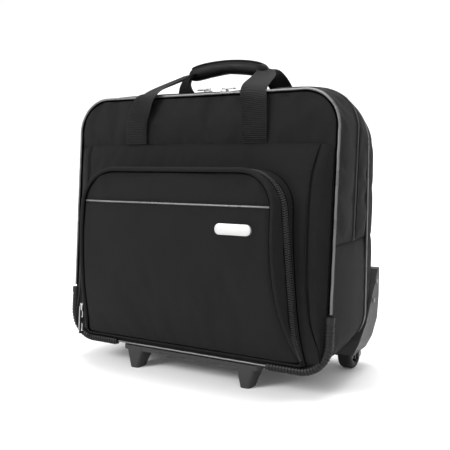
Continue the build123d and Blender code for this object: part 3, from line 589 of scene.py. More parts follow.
def sheet(name, points, slot, thickness=1.4 * MM, closed=False, keep=None, rounds=0):
    """A grid of points as a cloth sheet with some thickness behind it."""
    rows, columns = points.shape[:2]
    faces = faces_out(points, grid_faces(rows, columns, closed))
    flat = points.reshape(-1, 3)
    if keep is not None:
        faces = [f for f in faces if keep(flat[list(f)].mean(axis=0))]
    used = sorted({i for f in faces for i in f})
    order = {old: new for new, old in enumerate(used)}
    faces = [tuple(order[i] for i in f) for f in faces]
    obj = piece(name, flat[used], faces, slot)
    if rounds:
        finer = obj.modifiers.new("finer", "SUBSURF")
        finer.levels = finer.render_levels = rounds
    solid = obj.modifiers.new("thickness", "SOLIDIFY")
    solid.thickness = thickness
    solid.offset = -1
    return smooth(obj, 60)


def tube(name, path, radius, slot, sides=12, closed=False, flat=1.0, up=(0.3, 0.2, 0.93)):
    """A round or flattened tube along a line of points, with closed ends."""
    path = np.asarray(path, float)
    count = len(path)
    radius = np.broadcast_to(radius, count)
    ahead = np.roll(path, -1, axis=0) - np.roll(path, 1, axis=0)
    if not closed:
        ahead[0], ahead[-1] = path[1] - path[0], path[-1] - path[-2]
    ahead = unit(ahead)
    side = np.cross(ahead[0], up)
    verts = []
    for i in range(count):
        side = side - ahead[i] * side.dot(ahead[i])
        side /= np.linalg.norm(side)
        other = np.cross(ahead[i], side)
        for k in range(sides):
            turn = 2 * math.pi * k / sides
            verts.append(path[i] + radius[i] * (math.cos(turn) * side + flat * math.sin(turn) * other))
    faces = [(r * sides + k, r * sides + (k + 1) % sides,
              ((r + 1) % count) * sides + (k + 1) % sides, ((r + 1) % count) * sides + k)
             for r in range(count if closed else count - 1) for k in range(sides)]
    if not closed:
        faces += [tuple(range(sides))[::-1], tuple(range((count - 1) * sides, count * sides))]
    return smooth(piece(name, verts, faces, slot), 50)


def beads(name, path, normals, size, gap, slot, lift=0.0, across=False, shift=0.0):
    """Small rounded bars in a row along a line: stitches, or a zip's teeth when they lie across."""
    path = np.asarray(path, float)
    normals = np.broadcast_to(np.asarray(normals, float), path.shape)
    run = lengths(path)
    length, width, height = size
    step = (width if across else length) + gap
    verts, faces = [], []
    for mark in np.arange(step * (0.5 + shift), run[-1], step):
        at = np.array([np.interp(mark, run, path[:, i]) for i in range(3)])
        near = np.array([np.interp(mark + step * 0.3, run, path[:, i]) for i in range(3)])
        up = np.array([np.interp(mark, run, normals[:, i]) for i in range(3)])
        along = near - at
        if np.linalg.norm(along) < 1e-9:
            continue
        along = unit(along)
        up = unit(up - along * up.dot(along))
        side = np.cross(up, along)
        if across:
            along, side = side, along
        base = len(verts)
        for stretch, fat in ((-0.5, 0.5), (-0.3, 1.0), (0.3, 1.0), (0.5, 0.5)):
            centre = at + along * length * stretch + up * lift
            for k in range(6):
                turn = math.pi * k / 3
                verts.append(centre + side * width / 2 * fat * math.cos(turn)
                             + up * height / 2 * fat * math.sin(turn))
        for low in range(base, base + 18, 6):
            faces += [(low + k, low + (k + 1) % 6, low + 6 + (k + 1) % 6, low + 6 + k)
                      for k in range(6)]
        faces += [tuple(base + k for k in range(6))[::-1], tuple(base + 18 + k for k in range(6))]
    return smooth(piece(name, verts, faces, slot), 80)


def ribbon(name, middle, wide, half, slot, thickness=1.8 * MM, curl=None):
    """A flat strap along a line, with its width along wide, rounded edges and real length UVs."""
    middle, wide = np.asarray(middle, float), np.asarray(wide, float)
    count = len(middle)
    half = np.broadcast_to(half, count)
    curl = np.zeros(count) if curl is None else np.asarray(curl, float)
    ahead = unit(np.gradient(middle, axis=0))
    wide = unit(wide - ahead * np.sum(wide * ahead, axis=1, keepdims=True))
    n = np.cross(wide, ahead)
    marks = np.linspace(-1, 1, 13)
    run = lengths(middle)
    ring_marks = [(m, 1) for m in marks] + [(m, -1) for m in marks[::-1]]
    verts, uvs = [], []
    for i in range(count):
        for m, face in ring_marks:
            edge = thickness / 2 * math.sqrt(max(0.12, 1 - abs(m) ** 12))
            verts.append(middle[i] + wide[i] * m * half[i] + n[i] * (face * edge + curl[i] * m * m))
            uvs.append((m * half[i], run[i]))
    size = len(ring_marks)
    faces = [(r * size + k, r * size + (k + 1) % size, (r + 1) * size + (k + 1) % size,
              (r + 1) * size + k) for r in range(count - 1) for k in range(size)]
    faces += [tuple(range(size))[::-1], tuple(range((count - 1) * size, count * size))]
    return smooth(piece(name, verts, faces, slot, uvs), 60)


def fix(obj, body, *nodes):
    """Let a piece ride on a body, in place of the CAD nodes it stands for."""
    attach(obj, body)
    if nodes:
        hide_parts(*nodes)
    return obj


# ---- case walls ---------------------------------------------------------------------------------
AXLE_Y, AXLE_Z = 88 * MM, 25 * MM
WELL_X = (173 * MM, 207 * MM)
WELL_R = 30.5 * MM
BEZEL_LOW, BEZEL_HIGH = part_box("handle_bezel")


def in_well(p):
    return WELL_X[0] < abs(p[0]) < WELL_X[1] and math.hypot(p[1] - AXLE_Y, p[2] - AXLE_Z) < WELL_R


def in_bezel(p):
    return (abs(p[0]) < BEZEL_HIGH.x and BEZEL_LOW.y < p[1] < BEZEL_HIGH.y
            and p[2] > BEZEL_LOW.z)


def outside_holes(p):
    return not in_well(p) and not in_bezel(p)


def clear_holes(points):
    """Move the points just inside a wheel well or the bezel's hole out to its edge."""
    flat = points.reshape(-1, 3).copy()
    for p in flat:
        if in_well(p):
            away = np.array((p[1] - AXLE_Y, p[2] - AXLE_Z))
            away *= WELL_R / max(np.linalg.norm(away), 1e-6)
            if WELL_R - math.hypot(p[1] - AXLE_Y, p[2] - AXLE_Z) < 3 * MM:
                p[1], p[2] = AXLE_Y + away[0], AXLE_Z + away[1]
        if in_bezel(p):
            gaps = [(BEZEL_HIGH.x - abs(p[0]), 0), (p[1] - BEZEL_LOW.y, 1), (BEZEL_HIGH.y - p[1], 2)]
            gap, side = min(gaps)
            if gap < 3 * MM:
                if side == 0:
                    p[0] = math.copysign(BEZEL_HIGH.x, p[0])
                else:
                    p[1] = BEZEL_LOW.y if side == 1 else BEZEL_HIGH.y
    return flat.reshape(points.shape)


def folded_edge(points, side):
    """Add a small turned-under fold to the first or last row of a grid."""
    n = normals_of(points)
    edge, beside = (0, 1) if side == "low" else (-1, -2)
    ahead = unit(points[edge] - points[beside])
    rows = [points[edge] + n[edge] * 0.5 * MM + ahead * 0.4 * MM,
            points[edge] - n[edge] * 0.3 * MM + ahead * 0.8 * MM,
            points[edge] - n[edge] * 2.2 * MM + ahead * 0.2 * MM]
    if side == "low":
        return np.concatenate([np.array(rows[::-1]), points])
    return np.concatenate([points, np.array(rows)])


def make_upper_walls():
    front = np.stack([ring(UPPER, t) for t in np.linspace(0, TAPE_FRONT, 15)])
    front = inflate(front, 4 * MM, 1)
    front = folded_edge(tucked(front, 1.6 * MM, ("left", "right")), "high")
    fix(sheet("upper_front_cloth", front, "case_fabric", 2 * MM, rounds=1), "case", "upper_front_gusset")

    rear = np.stack([ring(UPPER, TAPE_REAR + (2 - TAPE_REAR) * t) for t in np.linspace(0, 1, 11)])
    rear = inflate(rear, 3.5 * MM, 2)
    rear = folded_edge(tucked(rear, 1.6 * MM, ("left", "right")), "low")
    fix(sheet("upper_rear_cloth", rear, "case_fabric", 2 * MM, rounds=1), "case", "upper_rear_gusset")

    places = np.linspace(0, 1, 7)
    tape = np.stack([ring(UPPER, TAPE_FRONT + (TAPE_REAR - TAPE_FRONT) * t) for t in places])
    tape = tape - normals_of(tape) * 1.6 * MM
    fix(sheet("main_tape_cloth", tape, "zip_tape", 1 * MM), "case", "main_zip_tape")
    n = normals_of(tape)[3]
    for i, (name, step) in enumerate((("front", 0.02), ("rear", -0.02))):
        line = ring(UPPER, 1 - step) if step > 0 else ring(UPPER, 1 + 1.2 * MM / ZIP_GAP)
        row = beads(f"main_coil_{name}", line, n, (2.6 * MM, 1.1 * MM, 1.5 * MM), 0.9 * MM,
                    "zip_coil", -0.4 * MM, across=True, shift=0.5 * i)
        fix(row, "case", *(["main_zip_teeth"] if i == 0 else []))
    for name, grid, row in (("front", front, -5), ("rear", rear, 4)):
        line = grid[row]
        stitches = beads(f"main_stitches_{name}", line, normals_of(grid)[row],
                         (2.4 * MM, 0.6 * MM, 0.6 * MM), 1.1 * MM, "case_fabric", 0.1 * MM)
        fix(stitches, "case")


def make_lower_walls():
    places = np.concatenate([np.linspace(0, 1, 16)[:-1], np.linspace(1, 2, 14)])
    low = np.stack([ring(LOWER, t) for t in places])
    low = inflate(low, 4 * MM, 3)
    low = clear_holes(tucked(low, 1.6 * MM, ("left", "right")))
    fix(sheet("lower_cloth", low, "case_fabric", 2 * MM, keep=outside_holes), "case", "lower_gusset")

    places = np.concatenate([np.linspace(2, 3, 9)[:-1], np.linspace(3, 4, 6)])
    rear = np.stack([whole_ring(t) for t in places])
    rear = inflate(rear, 3 * MM, 4, rows_only=True, closed=True)
    rear = clear_holes(tucked(rear, 1.2 * MM, ("low", "high"), 2, closed=True))
    fix(sheet("rear_cloth", rear, "case_fabric", 2 * MM, closed=True, keep=outside_holes),
        "case", "rear_gusset")


def span_rows(outline, place, columns):
    """Grid across a mirrored outline, given as (half width, height) points from low to high."""
    order = np.argsort(outline[:, 1], kind="stable")
    halves, heights = outline[order, 0], outline[order, 1]
    rows = [heights[0]]
    for h in heights[1:]:
        if h - rows[-1] > 1.2 * MM:
            rows.append(h)
    across = np.linspace(-1, 1, columns)
    return np.stack([place(np.interp(h, heights, halves) * across, np.full(columns, h)) for h in rows])


def half_outline(index):
    """Right half of a case section as (x, z) points, or (x, up the face) for the front one."""
    both = np.concatenate([RINGS[index][LOWER], RINGS[index][UPPER][1:]])
    right = both[both[:, 0] > 0]
    height = (right[:, 2] - BASE_Z) / UP.z if index == 0 else right[:, 2]
    return np.stack([right[:, 0], height], axis=1)


def make_end_panels():
    def on_back(x, z):
        return np.stack([x, np.full_like(x, BACK_Y), z], axis=-1)

    back = span_rows(half_outline(4), on_back, 84)
    back = inflate(back, 3.5 * MM, 5)
    back = clear_holes(tucked(back, 1.2 * MM, ("low", "high", "left", "right"), 2))
    fix(sheet("back_cloth", back, "case_fabric", 2 * MM, keep=outside_holes), "case", "back_panel")

    face = half_outline(0)
    seam = 296 * MM
    upper = np.concatenate([[(np.interp(seam, *face.T[::-1]), seam)], face[face[:, 1] > seam]])
    lower = np.concatenate([face[face[:, 1] < seam], [(np.interp(seam, *face.T[::-1]), seam)]])
    upper = span_rows(upper, lambda x, up: face_points(x, up, np.float64(0)), 90)
    upper = inflate(upper, 6 * MM, 6)
    upper = tucked(upper, 2.4 * MM, ("high", "left", "right"), 2)
    fix(sheet("front_cloth", upper, "case_fabric", 2 * MM, rounds=1), "case", "front_panel")
    lower = span_rows(lower, lambda x, up: face_points(x, up, np.float64(-0.4 * MM)), 80)
    fix(sheet("front_cloth_low", lower, "case_fabric", 2 * MM), "case")
    return upper


# ---- piping -------------------------------------------------------------------------------------
def wavy(path, seed, amount):
    """A path with the slight wander of a sewn cord."""
    return np.array([p + amount * np.array([smooth_noise(Vector(p) * 60 + Vector((seed, k, 0)))
                                            for k in (3, 7, 11)]) for p in path])


def make_piping():
    guard_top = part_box("corner_guard_right")[1].z
    loop = np.concatenate([ring(LOWER, 0), ring(UPPER, 0)[1:]])
    first = int(np.argmax((loop[:, 0] > 0) & (loop[:, 2] > guard_top - 1 * MM)))
    right_side = loop[first:]
    left_end = ring(LOWER, 0)[ring(LOWER, 0)[:, 2] > guard_top - 1 * MM]
    left_end = left_end[left_end[:, 0] < 0]
    edge = resample(np.concatenate([right_side, left_end[1:]]), 420)
    ahead = unit(np.gradient(edge, axis=0))
    away = unit(np.cross(ahead, OUT_WAY))
    if np.sum(away * (edge - CENTRE)) < 0:
        away = -away
    silver = wavy(edge + away * 0.6 * MM + OUT_WAY * 0.5 * MM, 1, 0.35 * MM)
    fix(tube("front_cord", silver, 1.7 * MM, "silver_piping", 10), "case", "front_piping")
    # painted shade: the near-black cord just inside the silver piping stands in for the shade of the
    # groove beside it
    welt = edge - away * 2.4 * MM + OUT_WAY * 0.5 * MM
    fix(tube("front_welt", welt, 1.3 * MM, "seam", 8), "case")
    back_welt = edge + away * 0.4 * MM - OUT_WAY * 2.6 * MM
    fix(tube("front_welt_side", back_welt, 1.3 * MM, "black_piping", 8), "case")

    span = 130 * MM
    run = np.array([on_front(x, 0, 0) + Vector((0, -0.4 * MM, -0.2 * MM))
                    for x in np.linspace(-span, span, 80)])
    fix(tube("base_cord", wavy(run, 2, 0.3 * MM), 1.5 * MM, "silver_piping", 10), "case")

    loop = whole_ring(2)
    upper = loop[loop[:, 2] > BASE_Z + 24 * MM]
    start = int(np.argmax(np.linalg.norm(np.diff(upper, axis=0), axis=1)))
    upper = np.roll(upper, -start - 1, axis=0)
    away = unit(upper - CENTRE) * np.array((1, 0, 1))
    cord = resample(upper + away * 0.8 * MM, 400)
    fix(tube("rear_cord", wavy(cord, 3, 0.35 * MM), 1.7 * MM, "silver_piping", 10),
        "case", "rear_piping")
    for name, step in (("fore", -3.0), ("aft", 3.0)):
        beside = cord + np.array((0, step * MM, 0))
        fix(tube(f"rear_welt_{name}", beside, 1.4 * MM, "black_piping", 8), "case")

    rim = whole_ring(4)
    rim = np.array([p for p in rim if outside_holes(p)])
    gap = int(np.argmax(np.linalg.norm(np.diff(rim, axis=0), axis=1)))
    rim = resample(np.roll(rim, -gap - 1, axis=0), 380)
    fix(tube("back_cord", rim, 1.8 * MM, "black_piping", 8), "case")


# ---- slip pocket --------------------------------------------------------------------------------
def pocket_outline(low_half, top_half):
    corners = [(0, LID_LOW), (low_half, LID_LOW), (top_half, LID_TOP), (-top_half, LID_TOP),
               (-low_half, LID_LOW), (0, LID_LOW)]
    return rounded(corners, [8 * MM, 56 * MM, 56 * MM, 8 * MM], (24, 48, 58, 48, 24), 14)


POCKET_BACK = pocket_outline(192 * MM, 168 * MM)
POCKET_FRONT = pocket_outline(161 * MM, 159 * MM)
SLIP_EDGE = rounded([(0, 8 * MM), (211 * MM, 8 * MM), (209 * MM, 32 * MM), (196 * MM, 66 * MM),
                     (190 * MM, 120 * MM), (188 * MM, 262 * MM), (197 * MM, SLIP_TOP)],
                    [10 * MM, 30 * MM, 110 * MM, 300 * MM, 140 * MM], (4, 2, 4, 6, 16, 8), 8)


def right_half(outline):
    """Right half of a mirrored outline, in order of height."""
    half = outline[outline[:, 0] > 0]
    return half[np.argsort(half[:, 1], kind="stable")]


def half_at(outline, up):
    half = right_half(outline)
    return np.interp(up, half[:, 1], half[:, 0])


def make_slip_pocket():
    def on_slip(x, up):
        return face_points(x, up, slip_out(up))

    flat = span_rows(right_half(SLIP_EDGE), on_slip, 92)
    puffed = inflate(flat, 7 * MM, 7)
    x, up = flat[..., 0], height_up(flat)
    beyond = np.maximum(np.abs(x) - half_at(POCKET_BACK, up), up - LID_TOP)
    share = np.clip(beyond / (14 * MM) + 0.25, 0, 1)[..., None]
    panel = flat + (puffed - flat) * share
    panel = folded_edge(tucked(panel, 1.4 * MM, ("left", "right"), 2), "high")
    obj = sheet("slip_cloth", panel, "pocket_fabric", 1.6 * MM, rounds=1)
    fix(obj, "case", "slip_pocket_panel")
    # painted shade: a near-black cord under the mouth's fold stands in for the shade inside the pocket's
    # opening
    mouth = panel[-1] + UP_WAY * 0.9 * MM - OUT_WAY * 0.4 * MM
    fix(tube("slip_mouth_shade", mouth[1:-1], 0.9 * MM, "seam", 8), "case")
    face = half_outline(0)
    steps = np.array((0, 0.02, 0.05, 0.1, 0.17, 0.26, 0.36, 0.47, 0.58, 0.7, 0.81, 0.91, 1))[:, None]
    for side, name in ((1, "right"), (-1, "left")):
        edge = SLIP_EDGE[SLIP_EDGE[:, 1] > 14 * MM]
        inner, up = edge[:, 0], edge[:, 1]
        outer = np.maximum(np.interp(up, face[:, 1], face[:, 0]) - 5 * MM, inner + 2 * MM)
        depth = slip_out(up)
        crease = np.minimum(5 * MM, 0.45 * depth) * np.exp(-((steps - 0.06) / 0.05) ** 2)
        belly = np.minimum(3 * MM, 0.3 * depth) * np.sin(math.pi * steps) ** 2
        out = depth * (1 - steps) + 0.8 * MM - crease + belly
        across = inner + (outer - inner) * steps
        fall = 5 * MM * steps * np.clip((up - 270 * MM) / (36 * MM), 0, 1)
        gusset = face_points(side * across, up - fall, out)
        gusset = gusset + normals_of(gusset) * swell(gusset, 0.03, 0.7 * MM, 12 + side)
        sides = sheet(f"slip_gusset_{name}", gusset, "pocket_fabric", 1.4 * MM, rounds=1)
        fix(sides, "case", *(["slip_pocket_gussets"] if side > 0 else []))
    return panel


# ---- organiser pocket ---------------------------------------------------------------------------
def pocket_line(curve):
    """Line round the organiser pocket's outside, as deep as the curve says at each height."""
    out = curve(POCKET_BACK[:, 1])
    for _ in range(3):
        share = (out / POCKET_DEPTH)[:, None]
        at = POCKET_BACK * (1 - share) + POCKET_FRONT * share
        out = curve(at[:, 1])
    return face_points(at[:, 0], at[:, 1], out)


SLIP_LINE = pocket_line(slip_out)
ZIP_LINE = pocket_line(zip_out)
LID_LINE = pocket_line(lid_out)
ZIP_LINE = ZIP_LINE + OUT_WAY * 0.15 * MM


def between(a, b, share):
    return a + (b - a) * np.broadcast_to(share, len(a))[:, None]


def gusset_band(name, start, end, rows, seed, fold_low, body, *nodes):
    """One band of the pocket's gusset, from one line round it to another, with a fold by the zip."""
    band = np.stack([between(start, end, t) for t in np.linspace(0, 1, rows)])
    n = normals_of(band)
    lift = np.sin(np.linspace(0, math.pi, rows))[:, None, None] * 1.0 * MM
    room = np.clip(np.linalg.norm(end - start, axis=1) / (8 * MM), 0, 1)[None, :, None]
    band = band + n * (lift + swell(band, 0.025, 0.5 * MM, seed)) * room
    band = folded_edge(band, "low" if fold_low else "high")
    obj = sheet(name, band, "pocket_fabric", 1.3 * MM)
    return fix(obj, body, *nodes)


def make_organiser():
    case_room = np.linalg.norm(ZIP_LINE - SLIP_LINE, axis=1)
    lid_room = np.linalg.norm(LID_LINE - ZIP_LINE, axis=1)
    case_tape = np.minimum(8 * MM, 0.5 * case_room) / case_room
    lid_tape = np.minimum(8 * MM, 0.5 * lid_room) / lid_room
    case_fold = between(ZIP_LINE, SLIP_LINE, case_tape)
    lid_fold = between(ZIP_LINE, LID_LINE, lid_tape)
    gusset_band("pocket_gusset", SLIP_LINE, case_fold, 7, 21, False, "case", "organiser_wall")
    gusset_band("lid_gusset", lid_fold, LID_LINE, 7, 22, True, "pocket_lid", "lid_wall")
    gap = 0.15 * MM
    high = ZIP_LINE[:, 2] > BASE_Z + 16 * MM
    open_low = ZIP_LINE[:, 2] > BASE_Z + 9 * MM
    for body, fold, node, side in (("case", case_fold, "organiser_teeth", -1),
                                   ("pocket_lid", lid_fold, "lid_teeth", 1)):
        toward = unit(fold - ZIP_LINE)
        inner = ZIP_LINE + toward * gap
        tape = np.stack([between(inner, fold + toward * 1.2 * MM, t) for t in (0, 0.35, 0.7, 1)])
        n = normals_of(tape)
        tape = tape - n * 1.0 * MM
        fix(sheet(f"{body}_pocket_tape", tape, "zip_tape", 0.8 * MM), body)
        for reach, size, slot in ((1.7, 3.2, "zip_coil"), (4.6, 0.9, "thread")):
            row = (inner + toward * reach * MM)[high]
            coil = beads(f"{body}_pocket_{slot}", row, n[0][high], (size * MM, 1.9 * MM, 1.7 * MM),
                         1.3 * MM, slot, 0.2 * MM, across=True, shift=0.25 + 0.25 * side)
            fix(coil, body, *([node] if slot == "zip_coil" else []))
        # painted shade: a near-black cord along the tape's fold stands in for the shade of the groove
        # between tape and gusset
        edge = (fold - toward * 0.5 * MM - n[-1] * 0.2 * MM)[open_low]
        fix(tube(f"{body}_tape_seam_shade", edge, 0.6 * MM, "seam", 6), body)
    beyond = normals_of(np.stack([SLIP_LINE, ZIP_LINE]))[0]
    # painted shade: a near-black cord at the gusset's foot stands in for the shade where it meets the slip
    # panel
    foot = (SLIP_LINE + beyond * 0.8 * MM + OUT_WAY * 0.4 * MM)[open_low]
    fix(tube("pocket_seam_shade", foot, 1.1 * MM, "seam", 8), "case")
    welt = (SLIP_LINE + beyond * 0.3 * MM + OUT_WAY * 3.2 * MM)[open_low]
    fix(tube("pocket_welt", welt, 1.2 * MM, "pocket_fabric", 8), "case")


def make_lid():
    edge = right_half(np.stack([LID_LINE[:, 0], height_up(LID_LINE)], axis=1))
    edge[:, 0] -= 3.2 * MM
    edge[:, 1] = np.minimum(edge[:, 1], LID_TOP - 3.2 * MM)

    def on_lid(x, up):
        return face_points(x, up, lid_out(up) - 0.6 * MM)

    flat = span_rows(edge, on_lid, 76)
    panel = inflate(flat, 4.5 * MM, 8)
    ups = height_up(flat[:, 0])
    valley = np.exp(-((ups - TRIM_UP - 1.5 * MM) / (2.4 * MM)) ** 2)[:, None, None] * 1.0 * MM
    panel = tucked(panel - OUT_WAY * valley, 2.6 * MM, ("low", "high", "left", "right"), 3)
    fix(sheet("lid_cloth", panel, "pocket_fabric", 1.8 * MM, rounds=1), "pocket_lid", "lid_panel")
    tree = BVHTree.FromPolygons([tuple(p) for p in panel.reshape(-1, 3)],
                                grid_faces(*panel.shape[:2]))

    def on_panel(x, up, lift):
        hit = tree.ray_cast(on_front(x, up, 0.2), -OUT)[0]
        return np.array(hit + OUT * lift)

    half = float(np.interp(TRIM_UP, edge[:, 1], edge[:, 0])) - 1.5 * MM
    trim = [on_panel(x, TRIM_UP, 0.7 * MM) for x in np.linspace(-half, half, 160)]
    fix(tube("lid_cord", wavy(trim, 5, 0.2 * MM), 1.35 * MM, "silver_piping", 10),
        "pocket_lid", "lid_trim")
    line = [on_panel(x, TRIM_UP + 4.2 * MM, 0) for x in np.linspace(-half, half, 160)]
    stitches = beads("trim_stitches", line, OUT_WAY, (2.4 * MM, 0.6 * MM, 0.6 * MM), 1.1 * MM,
                     "pocket_fabric", 0.15 * MM)
    fix(stitches, "pocket_lid")

    deep = depth_out(LID_LINE)
    radius = (1.6 + 1.7 * np.clip((deep - 8 * MM) / (20 * MM), 0, 1)) * MM
    n = normals_of(np.stack([ZIP_LINE, LID_LINE]))[1][:-1]
    radius, line = radius[:-1], LID_LINE[:-1]
    wide = radius[:, None]
    rim = line - n * (wide * 0.75) - OUT_WAY * (wide * 0.2)
    inner = rim - n * (wide * 1.05) + OUT_WAY * (wide * 0.3)
    outer = rim + n * (wide * 0.7) - OUT_WAY * (wide * 0.85)
    fold = outer + n * 0.7 * MM - OUT_WAY * 1.7 * MM
    fix(tube("lid_rim", rim, radius, "pocket_fabric", 14, closed=True, up=tuple(OUT)),
        "pocket_lid", "lid_piping")
    # painted shade: the two near-black cords beside the rim stand in for the shade of the grooves on each
    # side of it
    for name, path, thick, slot in (("rim_shade_line_inner", inner, 0.9, "seam"),
                                    ("rim_shade_line_outer", outer, 0.7, "seam"),
                                    ("rim_welt", fold, 1.1, "pocket_fabric")):
        fix(tube(name, path, thick * MM, slot, 8, closed=True), "pocket_lid")
    make_badge(on_panel)


def make_badge(on_panel):
    """Blank metal plate with rounded ends and a soft raised face."""
    low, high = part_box("badge")
    middle_x = (low.x + high.x) / 2
    centre = (low + high) / 2
    middle_up = (centre - ORIGIN).dot(UP)
    half_length, half_height = (high.x - low.x) / 2, (high.z - low.z) / 2 / UP.z
    base = np.array([on_panel(middle_x + dx, middle_up + dy, 0)
                     for dx in (-0.8 * half_length, 0, 0.8 * half_length)
                     for dy in (-half_height, half_height)])
    floor = depth_out(base).max()
    profile = [(1.0, -2.5 * MM), (1.0, 0.9 * MM), (0.975, 1.5 * MM), (0.9, 1.8 * MM), (0.6, 2.1 * MM)]
    around = 64
    verts, faces = [], []
    for share, lift in profile:
        inset = (1 - share) * half_height
        r, run = half_height - inset, half_length - half_height
        for k in range(around):
            turn = 2 * math.pi * (k + 0.5) / around
            dx = r * math.cos(turn) + math.copysign(run, math.cos(turn))
            verts.append(on_front(middle_x + dx, middle_up + r * math.sin(turn), floor + lift))
    for row in range(len(profile) - 1):
        faces += [(row * around + k, row * around + (k + 1) % around,
                   (row + 1) * around + (k + 1) % around, (row + 1) * around + k)
                  for k in range(around)]
    faces.append(tuple(range(around))[::-1])
    faces.append(tuple(range((len(profile) - 1) * around, len(profile) * around)))
    fix(smooth(piece("plate", verts, faces, "badge_metal"), 40), "pocket_lid", "badge")


def make_pocket_inside():
    """Card pockets and pen loops on the wall behind the organiser's lid."""
    def on_wall(lift):
        return lambda x, up: face_points(x, up, slip_out(up) + lift)

    board = rounded([(0, 34 * MM), (118 * MM, 34 * MM), (118 * MM, 228 * MM), (0, 228 * MM)],
                    [12 * MM, 12 * MM], (4, 36, 4), 6)
    grid = inflate(span_rows(board, on_wall(2.4 * MM), 48), 1.5 * MM, 30)
    fix(sheet("organiser_lining", grid, "lining", 1 * MM), "case", "organiser_board")
    for i, (left, right, low, high) in enumerate(((-112, -8, 40, 200), (-112, -8, 40, 164),
                                                  (-112, -8, 40, 128), (8, 112, 40, 120))):
        ups = np.linspace(low, high, 26) * MM
        across = np.linspace(left, right, 30) * MM
        lift = (4.4 + 1.4 * (i % 3)) * MM
        pocket = np.stack([face_points(across, np.full(30, u), slip_out(u) + lift) for u in ups])
        pocket = folded_edge(tucked(inflate(pocket, 1.6 * MM, 31 + i), 1.6 * MM,
                                    ("low", "left", "right"), 2), "high")
        fix(sheet(f"card_pocket_{i}", pocket, "lining", 0.9 * MM), "case")
    low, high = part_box("pen_loops")
    foot = ((low + high) / 2 - ORIGIN).dot(UP) - 16 * MM
    for i, x in enumerate(np.linspace(low.x + 6 * MM, high.x - 6 * MM, 3)):
        turns = np.linspace(math.pi * 1.12, -math.pi * 0.12, 22)
        base = float(slip_out(foot)) + 8.4 * MM
        rows = np.linspace(foot, foot + 34 * MM, 10)
        loop = np.stack([face_points(x + 6 * MM * np.cos(turns), u, base + 6.5 * MM * np.sin(turns))
                         for u in rows])
        obj = sheet(f"pen_loop_{i}", loop, "lining", 0.9 * MM)
        fix(obj, "case", *(["pen_loops"] if i == 0 else []))


# ---- carry handle -------------------------------------------------------------------------------
WRAP_LOW, WRAP_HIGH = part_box("handle_wrap")
WRAP_Y = (WRAP_LOW.y + WRAP_HIGH.y) / 2
WRAP_HALF = (WRAP_HIGH.x - WRAP_LOW.x) / 2 + 2 * MM
WRAP_Z = (WRAP_HIGH.z + WRAP_LOW.z) / 2


def wrap_spine(x):
    """Middle of the padded wrap, arched from end to end."""
    return np.array((x, WRAP_Y, WRAP_Z + 4 * MM - 8 * MM * (x / WRAP_HALF) ** 2))


def make_wrap():
    rows, around = 46, 48
    grid = []
    for s in np.linspace(-1, 1, rows):
        middle = wrap_spine(s * WRAP_HALF)
        close = (1 - abs(s) ** 9) ** 0.5
        turns = np.linspace(0, 2 * math.pi, around, endpoint=False)
        c, d = np.cos(turns), np.sin(turns)
        y = np.sign(c) * np.abs(c) ** 0.85 * 12.6 * MM * max(close, 0.25)
        z = np.sign(d) * np.abs(d) ** 0.85 * 11.8 * MM * max(close, 0.25)
        x = np.full(around, middle[0])
        grid.append(np.stack([x, middle[1] + y, middle[2] + z], axis=1))
    grid = inflate(np.stack(grid), 3.2 * MM, 9, rows_only=True, closed=True, slack=0.03)
    flat = grid.reshape(-1, 3)
    faces = faces_out(grid, grid_faces(rows, around, closed=True))
    faces += [tuple(range(around)), tuple(range((rows - 1) * around, rows * around))[::-1]]
    obj = piece("wrap", flat, faces, "wrap_leather")
    finer = obj.modifiers.new("finer", "SUBSURF")
    finer.levels = finer.render_levels = 1
    fix(smooth(obj, 70), "carry_handle", "handle_wrap")
    front = int(around * 0.36)
    seam = grid[3:-3, front]
    n = normals_of(grid, closed=True)[3:-3, front]
    ridge = resample(seam + n * 0.5 * MM, 90)
    fix(tube("wrap_seam", ridge, 1.5 * MM, "wrap_leather", 10), "carry_handle")
    line = resample(grid[4:-4, front + 2] + normals_of(grid, closed=True)[4:-4, front + 2] * 0.1 * MM, 90)
    stitches = beads("wrap_stitches", line, n[len(n) // 2], (2.6 * MM, 0.7 * MM, 0.7 * MM), 1.2 * MM,
                     "wrap_leather", 0.2 * MM)
    fix(stitches, "carry_handle")


def strap_rows(keys, count):
    """Evenly spaced rows through (point, width direction, half width, curl) keys."""
    points = np.array([k[0] for k in keys], float)
    line = smoothed(points, count)
    marks = lengths(points) / lengths(points)[-1]
    here = np.linspace(0, 1, count)
    wide = np.stack([np.interp(here, marks, [k[1][i] for k in keys]) for i in range(3)], axis=1)
    half = np.interp(here, marks, [k[2] for k in keys])
    curl = np.interp(here, marks, [k[3] for k in keys])
    return line, wide, half, curl


